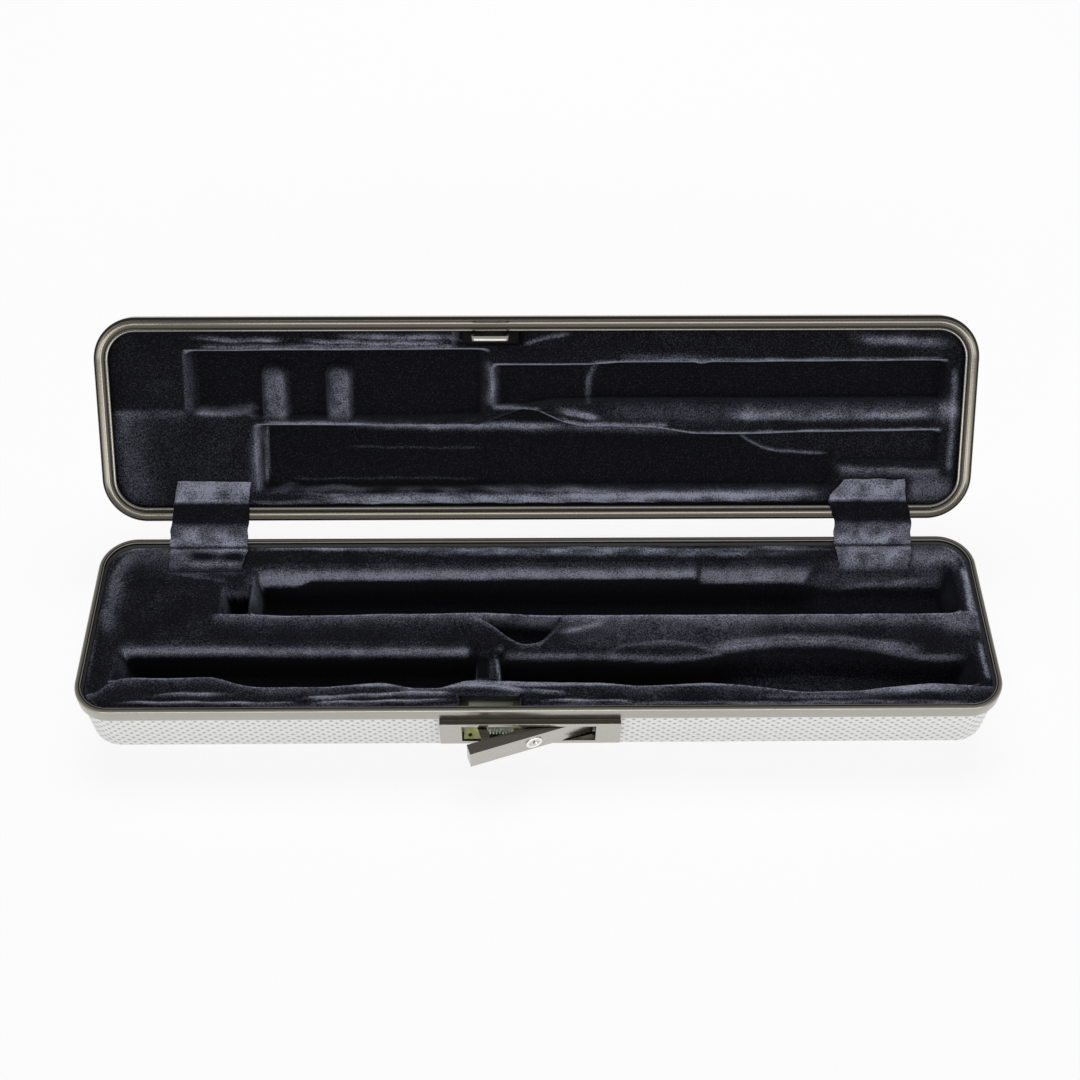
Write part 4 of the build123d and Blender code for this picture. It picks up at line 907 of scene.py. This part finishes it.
lid_nap_and_light += (0.036 + flat_lid * (0.018 + 0.02 * soft_noise(lx, ly, 30, 33))
            + 0.022 * ease((-132 - lx) / 8) * ease((ly + 5) / 3) * flat_lid)
lid_nap_and_light += 0.045 * np.clip(raised, 0, 1) * (lx > 96) * (ly > lid_body_front) * (drop > 4)

lid_lining = velvet_block("lid_velvet", lx, ly, -(lid_face + 3.0 + np.maximum(depths, 0.02)),
                          -(lid_face + 16.0), lid_nap_and_light, velvet_cloth)
lid_lining.data.transform(Matrix.Diagonal((1, 1, -1, 1)))
lid_lining.data.flip_normals()
lay_open(lid_lining)
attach(lid_lining, "lid")
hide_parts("lid_lining")

# ---------------------------------------------------------------- Hinge straps
# Two bands of the same velvet hide the hinges. Each is glued to the base's lining, runs over both rims and
# ends as a flap on the lid's lining.
strap_thick, flap_length = 0.9, 41.5


def lid_spot(y, depth):
    """A point of the open lid in (y, z), from its closed y and its depth behind the rim's face."""
    turned = closed_to_open @ Vector((0, y * MM, (lid_face + depth) * MM))
    return turned.y / MM, turned.z / MM


strap_rise = [(44.8, 35.35), (46.6, 37.75), (50.2, 37.85), (52.1, 40.0),
              lid_spot(50.0, -0.75), lid_spot(42.6, -0.75), lid_spot(40.6, 2.35), lid_spot(30.6, 2.45)]
# How brightly its pile shows along the strap: the pile's lay with painted light on the flap and over the
# base's rim, and painted shade where it crosses the lid's rim and at the base rim's inner edge.
strap_lie_and_light = [(-7, 0.10), (-4, 0.24), (0, 0.34), (3, 0.42), (5.0, 0.50), (6.6, 0.05), (8.2, 0.62),
             (12, 0.55), (17.5, 0.30), (20, 0.04), (29, 0.02), (30.5, 0.30), (32, 0.62), (37, 0.72),
             (45, 0.58)]


def soft_route(points, step, soft):
    """Even points along a route with its corners softened, and the length up to each."""
    points = np.array(points)
    runs = np.hypot(*np.diff(points, axis=0).T)
    reach = np.concatenate([[0], np.cumsum(runs)])
    at = np.linspace(0, reach[-1], int(reach[-1] / step) + 1)
    line = np.column_stack([np.interp(at, reach, points[:, 0]), np.interp(at, reach, points[:, 1])])
    width = int(3 * soft / step)
    window = np.exp(-0.5 * (np.arange(-width, width + 1) * step / soft) ** 2)
    window /= window.sum()
    start = 2 * line[0] - line[width:0:-1]
    end = 2 * line[-1] - line[-2:-width - 2:-1]
    longer = np.vstack([start, line, end])
    return np.column_stack([np.convolve(longer[:, i], window, mode="valid") for i in (0, 1)]), at


def velvet_strap(name, tail, left_edge, right_edge, pile_and_light_strokes, seed):
    """A velvet band over one hinge. Its tail is the route's start on the base, in (y, z), and its edges are
    points of (distance along the flap, x). The last strokes run across it and lighten or darken its pile,
    partly as painted light and shade."""
    line, at = soft_route(tail + strap_rise, 0.5, 0.9)
    along = at - (at[-1] - flap_length)
    ahead = np.gradient(line, axis=0)
    ahead /= np.linalg.norm(ahead, axis=1, keepdims=True)
    normal = np.column_stack([-ahead[:, 1], ahead[:, 0]])
    rows, columns = len(line), 45
    spread = np.linspace(-1, 1, columns)
    reach = at[:, None] / at[-1] * np.ones(columns)
    left = np.interp(along, *zip(*left_edge))[:, None]
    right = np.interp(along, *zip(*right_edge))[:, None]
    x = (left + right) / 2 + (right - left) / 2 * spread[None, :]
    x = (x + (0.22 * np.sin(reach * 17 + seed) + 0.14 * np.sin(reach * 43 + seed))
         * np.abs(spread[None, :]) ** 6)
    ragged = 0.5 * soft_noise(x, 0 * x, 15, seed + 2) * ease((at[:, None] - at[-1] + 4) / 4)
    thick = strap_thick / 2 * np.sqrt(np.clip(1 - np.abs(spread) ** 14, 0.03, 1))[None, :]
    swell = (0.16 * soft_noise(x, at[:, None] * np.ones(columns), 9, seed)
             * (1 - np.abs(spread[None, :]) ** 4))
    points, faces = [], []
    for lift in (1, -1):
        shift = (lift * thick + (swell if lift > 0 else 0))[:, :, None] * normal[:, None, :]
        place = line[:, None, :] + shift + ragged[:, :, None] * ahead[:, None, :]
        points.append(np.stack([x, place[..., 0], place[..., 1]], -1).reshape(-1, 3))
    grid = np.arange(rows * columns).reshape(rows, columns)
    low = grid + rows * columns
    for i in range(rows - 1):
        for j in range(columns - 1):
            faces.append((grid[i, j], grid[i, j + 1], grid[i + 1, j + 1], grid[i + 1, j]))
            faces.append((low[i, j], low[i + 1, j], low[i + 1, j + 1], low[i, j + 1]))
        faces.append((grid[i, 0], grid[i + 1, 0], low[i + 1, 0], low[i, 0]))
        faces.append((grid[i, -1], low[i, -1], low[i + 1, -1], grid[i + 1, -1]))
    for j in range(columns - 1):
        faces.append((grid[0, j], low[0, j], low[0, j + 1], grid[0, j + 1]))
        faces.append((grid[-1, j], grid[-1, j + 1], low[-1, j + 1], low[-1, j]))
    strap = mesh_piece(name, np.vstack(points), faces, velvet_cloth)
    lie_and_light = np.interp(along, *zip(*strap_lie_and_light))[:, None] * np.ones(columns)
    lie_and_light = lie_and_light * (1 + 0.40 * soft_noise(x, at[:, None] * np.ones(columns), 11, seed + 1))
    lie_and_light = lie_and_light + strokes(x, along[:, None] * np.ones(columns), pile_and_light_strokes)
    lay_nap_and_light(strap, np.clip(np.concatenate([lie_and_light.ravel(), lie_and_light.ravel()]), 0, 1))
    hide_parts("hinge_" + name)
    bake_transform(strap)
    return strap


velvet_strap("strap_left", [(32.0, 34.95), (38.0, 35.15)],
             [(-7, -179.0), (8, -180.5), (20, -180.0), (31, -178.6), (42, -176.8)],
             [(-7, -144.0), (6, -142.5), (31, -142.0), (42, -141.0)],
             [([(-177, 1.4), (-139, 2.0)], 2.9, -0.30, 11.0),
              ([(-171, -3.6), (-142, -3.2)], 1.8, 0.20, 8.0), ([(-176, 36), (-144, 35)], 3.0, 0.12, 9.0)], 41)
velvet_strap("strap_right", [(32.0, 31.4), (34.6, 33.4), (38.4, 35.05)],
             [(-7, 147.5), (8, 145.5), (20, 146.0), (29, 143.4), (33.5, 144.0), (41.5, 150.6)],
             [(-7, 181.5), (8, 183.5), (20, 184.0), (30, 182.0), (42, 180.4)],
             [([(138, -2.8), (192, -2.8)], 4.6, 0.18, 6.0), ([(147, 3.2), (176, 3.0)], 1.6, 0.16, 9.0)], 42)

# ---------------------------------------------------------------- Hinges
# Two pressed steel butt hinges behind the straps. Each has a leaf riveted to the base's skirt
# and one to the lid's, rolled round a plain pin.
hinge_steel = satin_metal("hinge_steel", (0.50, 0.49, 0.47), 0.28, (0.1, 1, 1))


def softened(name, node, body, material, width=0.15):
    """A rigid piece with its sharp edges rounded: the solid's faces, merged, with a narrow bevel."""
    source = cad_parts[node]
    mesh = source.data.copy()
    mesh.transform(source.matrix_world)
    clean = bmesh.new()
    clean.from_mesh(mesh)
    bmesh.ops.remove_doubles(clean, verts=clean.verts, dist=1e-6)
    bmesh.ops.dissolve_limit(clean, angle_limit=math.radians(1.5), verts=clean.verts, edges=clean.edges)
    clean.to_mesh(mesh)
    clean.free()
    mesh.materials.clear()
    mesh.materials.append(material)
    piece = new_object(name, mesh)
    bevel = piece.modifiers.new("edges", "BEVEL")
    bevel.width, bevel.segments, bevel.limit_method = width * MM, 2, "ANGLE"
    bevel.angle_limit = math.radians(35)
    bake(piece)
    piece.data.polygons.foreach_set("use_smooth", [True] * len(piece.data.polygons))
    piece.data.set_sharp_from_angle(angle=math.radians(38))
    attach(piece, body)
    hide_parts(node)
    return piece


for side in ("left", "right"):
    softened("base_leaf_" + side, "hinge_base_leaf_" + side, "base", hinge_steel, 0.2)
    softened("lid_leaf_" + side, "hinge_lid_leaf_" + side, "lid", hinge_steel, 0.2)
    softened("pin_" + side, "hinge_pin_" + side, "base", hinge_steel, 0.3)


def rivet_tree():
    """A node tree that sets one domed rivet, with its shank behind it, on every point of Spots."""
    tree, given = started_tree("rivets", {
        "Spots": "Object", "Turn": "Vector", "Head": "Float", "Rise": "Float", "Shank": "Float",
        "Grip": "Float", "Finish": "Material"})
    dome = add_node(tree, "GeometryNodeMeshUVSphere", {"Segments": 24, "Rings": 12, "Radius": 1.0})
    size = add_node(tree, "ShaderNodeCombineXYZ", {
        "X": given["Head"], "Y": given["Head"], "Z": given["Rise"]})
    head = add_node(tree, "GeometryNodeTransform", {
        "Geometry": dome.outputs["Mesh"], "Scale": size.outputs[0]})
    rod = add_node(tree, "GeometryNodeMeshCylinder", {
        "Vertices": 20, "Radius": given["Shank"], "Depth": given["Grip"]})
    back = add_node(tree, "ShaderNodeCombineXYZ", {"Z": math_node(tree, "MULTIPLY", given["Grip"], -0.5)})
    shank = add_node(tree, "GeometryNodeTransform", {
        "Geometry": rod.outputs["Mesh"], "Translation": back.outputs[0]})
    rivet = add_node(tree, "GeometryNodeJoinGeometry", {"Geometry": head.outputs["Geometry"]})
    tree.links.new(shank.outputs["Geometry"], rivet.inputs["Geometry"])
    spots = add_node(tree, "GeometryNodeObjectInfo", {"Object": given["Spots"]})
    angle = add_node(tree, "FunctionNodeEulerToRotation", {"Euler": given["Turn"]})
    place = add_node(tree, "GeometryNodeInstanceOnPoints", {
        "Points": spots.outputs["Geometry"], "Instance": rivet.outputs["Geometry"],
        "Rotation": angle.outputs["Rotation"]})
    return ended_tree(tree, place.outputs["Instances"], given["Finish"])


rivets_tree = rivet_tree()


def rivet_row(name, spots, turned, head, rise, shank, grip, material, node, body, is_open=False):
    """Rivets whose heads stand on these spots, in millimetres, their axes turned by an Euler angle."""
    dots = new_object("spots", bpy.data.meshes.new("spots"))
    dots.data.from_pydata([tuple(c * MM for c in spot) for spot in spots], [], [])
    row = grown(name, rivets_tree, {"Spots": dots, "Turn": turned, "Head": head * MM, "Rise": rise * MM,
                                    "Shank": shank * MM, "Grip": grip * MM, "Finish": material})
    bpy.data.objects.remove(dots)
    row.data.set_sharp_from_angle(angle=math.radians(50))
    if is_open:
        lay_open(row)
    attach(row, body)
    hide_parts(node)
    return row


hinge_spots = [centre + step for centre in (-161.5, 164.5) for step in (-10, 0, 10)]
for side, height, is_open in (("base", 32.6, False), ("lid", 41.7, True)):
    rivet_row(side + "_hinge_rivets", [(x, 50.85, height) for x in hinge_spots], (math.radians(-90), 0, 0),
              1.5, 0.62, 1.0, 2.0, hinge_steel, f"hinge_{side}_rivets", side, is_open)

# ---------------------------------------------------------------- Latch frame and housing
# A die-cast frame in satin nickel, riveted through the front wall, with a folded zinc housing behind its
# window. Its upper faces are painted dark as painted reflection, with a painted highlight where they turn
# down to the brushed front.


def paint_top_reflection(material, front, upper):
    """Paints a part's upward faces darker, as painted reflection, with a painted highlight on the turn
    between them and the front.
    """
    tree = material.node_tree
    normal = tree.nodes.new("ShaderNodeTexCoord").outputs["Normal"]
    split = add_node(tree, "ShaderNodeSeparateXYZ", {"Vector": normal})
    edge = tuple(c * 1.25 for c in front)
    colour_by(tree, split.outputs["Z"], [(0.30, front), (0.42, edge), (0.75, upper)])


satin_nickel, top_reflection_colour = (0.50, 0.485, 0.45), (0.070, 0.064, 0.055)
latch_metal = satin_metal("latch_metal", satin_nickel, 0.26, (0.08, 1, 1), 0.06)
paint_top_reflection(latch_metal, satin_nickel, top_reflection_colour)
housing_zinc, tree, shader = fresh_material("housing_zinc", (0.7, 0.74, 0.7), 0.5, 0.0)
place = tree.nodes.new("ShaderNodeSeparateXYZ")
tree.links.new(tree.nodes.new("ShaderNodeTexCoord").outputs["Object"], place.inputs[0])
# Paler towards its upper part, then painted shade near black from about 27 mm up, where the housing's top
# sits in the slot's shadow.
height = math_node(tree, "MULTIPLY", place.outputs["Z"], 1000.0 / 40)
colour_by(tree, height, [(0.40, (0.62, 0.67, 0.62)), (0.62, (0.76, 0.80, 0.76)),
                         (0.685, (0.030, 0.026, 0.018))])
softened("frame_plate", "latch_frame", "base", latch_metal, 0.35)
softened("housing_box", "latch_housing", "base", housing_zinc, 0.04)
softened("frame_rivets", "latch_rivets", "base", hinge_steel, 0.2)
softened("pivot_pin", "lever_pin", "base", hinge_steel, 0.15)
softened("guide_pin", "slide_guide", "base", hinge_steel, 0.1)

# ---------------------------------------------------------------- Latch lever
# The die-cast bar that swings out of the frame on its pin, in the same satin nickel. The lock
# turns in it.
# The lever's upper faces carry the frame's painted reflection and edge highlight.
softened("lever_bar", "latch_lever", "lever", latch_metal, 0.3)

# ---------------------------------------------------------------- Latch slide and spring
# A yellow-passivated zinc slide with a guide hole, pressed against the keeper by a close coil of
# zinc-plated wire, whose plating shines white, green-blue and straw.
zinc, tree, shader = fresh_material("zinc_yellow", (0.80, 0.84, 0.50), 0.32, 0.0)
colour_by(tree, noise_node(tree, 3.5, 3.0),
          [(0.35, (0.66, 0.80, 0.26)), (0.5, (0.95, 0.96, 0.46)), (0.68, (0.97, 0.99, 0.80))])
plated_wire, tree, shader = fresh_material("spring_steel", (0.80, 0.83, 0.80), 0.18, 0.2)
colour_by(tree, noise_node(tree, 2.2, 2.0), [(0.34, (0.30, 0.60, 0.52)), (0.46, (0.92, 0.96, 0.92)),
                                             (0.56, (0.96, 0.96, 0.90)), (0.68, (0.72, 0.50, 0.26))])
softened("slide_bar", "latch_slide", "slide", zinc, 0.12)
softened("keeper_tab", "lock_keeper", "base", zinc, 0.12)


def coil_tree():
    """A node tree that winds a round wire into a coil along +X."""
    tree, given = started_tree("coil", {"Turns": "Float", "Radius": "Float", "Length": "Float",
                                        "Wire": "Float", "Start": "Vector", "Finish": "Material"})
    spiral = add_node(tree, "GeometryNodeCurveSpiral", {
        "Resolution": 28, "Rotations": given["Turns"], "Start Radius": given["Radius"],
        "End Radius": given["Radius"], "Height": given["Length"]})
    wire = add_node(tree, "GeometryNodeCurvePrimitiveCircle", {"Resolution": 10, "Radius": given["Wire"]})
    sweep = add_node(tree, "GeometryNodeCurveToMesh", {
        "Curve": spiral.outputs["Curve"], "Profile Curve": wire.outputs["Curve"], "Fill Caps": True})
    lay = add_node(tree, "GeometryNodeTransform", {
        "Geometry": sweep.outputs["Mesh"], "Translation": given["Start"],
        "Rotation": (0, math.radians(90), 0)})
    return ended_tree(tree, lay.outputs["Geometry"], given["Finish"])


spring = grown("coil_spring", coil_tree(), {
    "Turns": 8.5, "Radius": 2.05 * MM, "Length": 12.6 * MM, "Wire": 0.35 * MM,
    "Start": (-26.2 * MM, -49.2 * MM, 19.9 * MM), "Finish": plated_wire})
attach(spring, "base")
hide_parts("latch_spring")
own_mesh(spring)

# ---------------------------------------------------------------- Lock
# A small bright cam lock in the lever: a turned barrel with a polished collar, a plug with the
# key's slot, and a cam behind it that catches the keeper.
chrome = satin_metal("bright_chrome", (0.88, 0.875, 0.86), 0.10, (1, 1, 1), 0.03)
plug_metal = satin_metal("lock_plug", (0.62, 0.60, 0.55), 0.25, (1, 1, 1), 0.1)
softened("lock_collar", "lock_barrel", "lever", chrome, 0.12)
softened("key_plug", "lock_plug", "lock", plug_metal, 0.08)
softened("cam_tab", "lock_cam", "lock", plug_metal, 0.1)

# ---------------------------------------------------------------- Strike
# The lid's half of the latch: a bright staple that drops into the housing, on a blackened plate
# held by two small rivets.
black_steel = satin_metal("strike_black", (0.005, 0.0048, 0.0045), 0.45, (1, 1, 1), 0.3)
staple_metal = satin_metal("staple_nickel", (0.24, 0.232, 0.21), 0.22, (0.1, 1, 1), 0.05)
softened("staple_loop", "strike_staple", "lid", staple_metal, 0.3)
softened("strike_seat", "strike_plate", "lid", black_steel, 0.15)
rivet_row("seat_rivets", [(x, -44.2, 38.6) for x in (-32.6, -12.6)], (math.radians(180), 0, 0), 1.0, 0.6,
          0.6, 1.2, black_steel, "strike_rivets", "lid", is_open=True)

# ---------------------------------------------------------------- Board and spacer
# Hidden inside: a plywood board under the base's foam and a foam spacer behind the lid's. Both
# keep their solid's shape and only take a material.
plywood, tree, shader = fresh_material("plywood", (0.52, 0.38, 0.23), 0.7)
grain = noise_node(tree, 6.0, 4.0, stretch=(0.08, 1, 1))
colour_by(tree, grain, [(0.35, (0.40, 0.28, 0.16)), (0.65, (0.62, 0.46, 0.29))])
foam, tree, shader = fresh_material("foam", (0.07, 0.07, 0.08), 0.95)
bump_node(tree, noise_node(tree, 0.8), 0.3, shader)
for name, material in (("base_board", plywood), ("lid_spacer", foam)):
    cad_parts[name].data.materials.clear()
    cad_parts[name].data.materials.append(material)

# ---------------------------------------------------------------- Floor, light and camera
# The case stands on a white floor in a white room, which look brighter than the light they
# give. Four soft lights stand round it, the largest high behind it.


def seen_directly(tree):
    """1 for what the camera sees, straight, mirrored or through glass, and 0 for what only lights."""
    path = tree.nodes.new("ShaderNodeLightPath")
    passed_on = math_node(tree, "MAXIMUM", path.outputs["Is Glossy Ray"], path.outputs["Is Transmission Ray"])
    return math_node(tree, "MAXIMUM", path.outputs["Is Camera Ray"], passed_on)


floor_half = 6
floor_corners = [(x * floor_half, y * floor_half, 0) for x, y in ((-1, -1), (1, -1), (1, 1), (-1, 1))]
floor_mesh = bpy.data.meshes.new("floor")
floor_mesh.from_pydata(floor_corners, [], [(0, 1, 2, 3)])
floor = new_object("floor", floor_mesh)
white, tree, shader = fresh_material("white_floor", (0.97, 0.97, 0.97), 0.9)
floor.data.materials.append(white)
shader.inputs["Specular IOR Level"].default_value = 0.0
glow = tree.nodes.new("ShaderNodeEmission")
glow.inputs["Color"].default_value = (1, 1, 1, 1)
glow.inputs["Strength"].default_value = 1.0
blend = tree.nodes.new("ShaderNodeMixShader")
tree.links.new(math_node(tree, "MULTIPLY", seen_directly(tree), 0.86), blend.inputs["Fac"])
tree.links.new(shader.outputs["BSDF"], blend.inputs[1])
tree.links.new(glow.outputs["Emission"], blend.inputs[2])
tree.links.new(blend.outputs["Shader"], tree.nodes["Material Output"].inputs["Surface"])

world = bpy.data.worlds.new("studio")
bpy.context.scene.world = world
world.use_nodes = True
tree = world.node_tree
background = tree.nodes["Background"]
background.inputs["Color"].default_value = (1, 1, 1, 1)
brightness = math_node(tree, "MULTIPLY_ADD", seen_directly(tree), 0.78, 0.22)
tree.links.new(brightness, background.inputs["Strength"])

for name, place, target, size, power in (
    ("top_softbox", (0.0, 0.65, 1.20), (0, 0.05, 0.0), (1.4, 0.6), 12.0),
    ("left_softbox", (-0.82, -1.42, 0.86), (0, 0, 0.05), (0.34, 0.5), 3.5),
    ("right_softbox", (0.85, -1.0, 0.60), (0, 0, 0.05), (0.22, 0.6), 1.9),
    ("front_softbox", (0.1, -1.6, 0.75), (0, 0, 0.03), (1.2, 0.5), 7.3),
):
    data = bpy.data.lights.new(name, "AREA")
    data.shape, data.size, data.size_y, data.energy = "RECTANGLE", size[0], size[1], power
    lamp = new_object(name, data)
    lamp.visible_glossy = name != "top_softbox"
    lamp.location = place
    lamp.rotation_euler = (Vector(target) - Vector(place)).to_track_quat("-Z", "Y").to_euler()

lens = bpy.data.cameras.new("camera")
lens.sensor_width, lens.lens = 36.0, 50.964
lens.clip_start, lens.clip_end = 0.01, 20
camera = new_object("camera", lens)
forward = Vector((0.01059, 0.61533, -0.78820)).normalized()
level_right = forward.cross(Vector((0, 0, 1))).normalized()
level_up = level_right.cross(forward)
roll = math.radians(0.546)
right = level_right * math.cos(roll) + level_up * math.sin(roll)
up = level_up * math.cos(roll) - level_right * math.sin(roll)
camera.matrix_world = Matrix((
    (right.x, up.x, -forward.x, -0.007091),
    (right.y, up.y, -forward.y, -0.414536),
    (right.z, up.z, -forward.z, 0.629520),
    (0, 0, 0, 1),
))
bpy.context.scene.camera = camera
bpy.context.scene.view_settings.view_transform = "Standard"

bpy.context.view_layer.update()
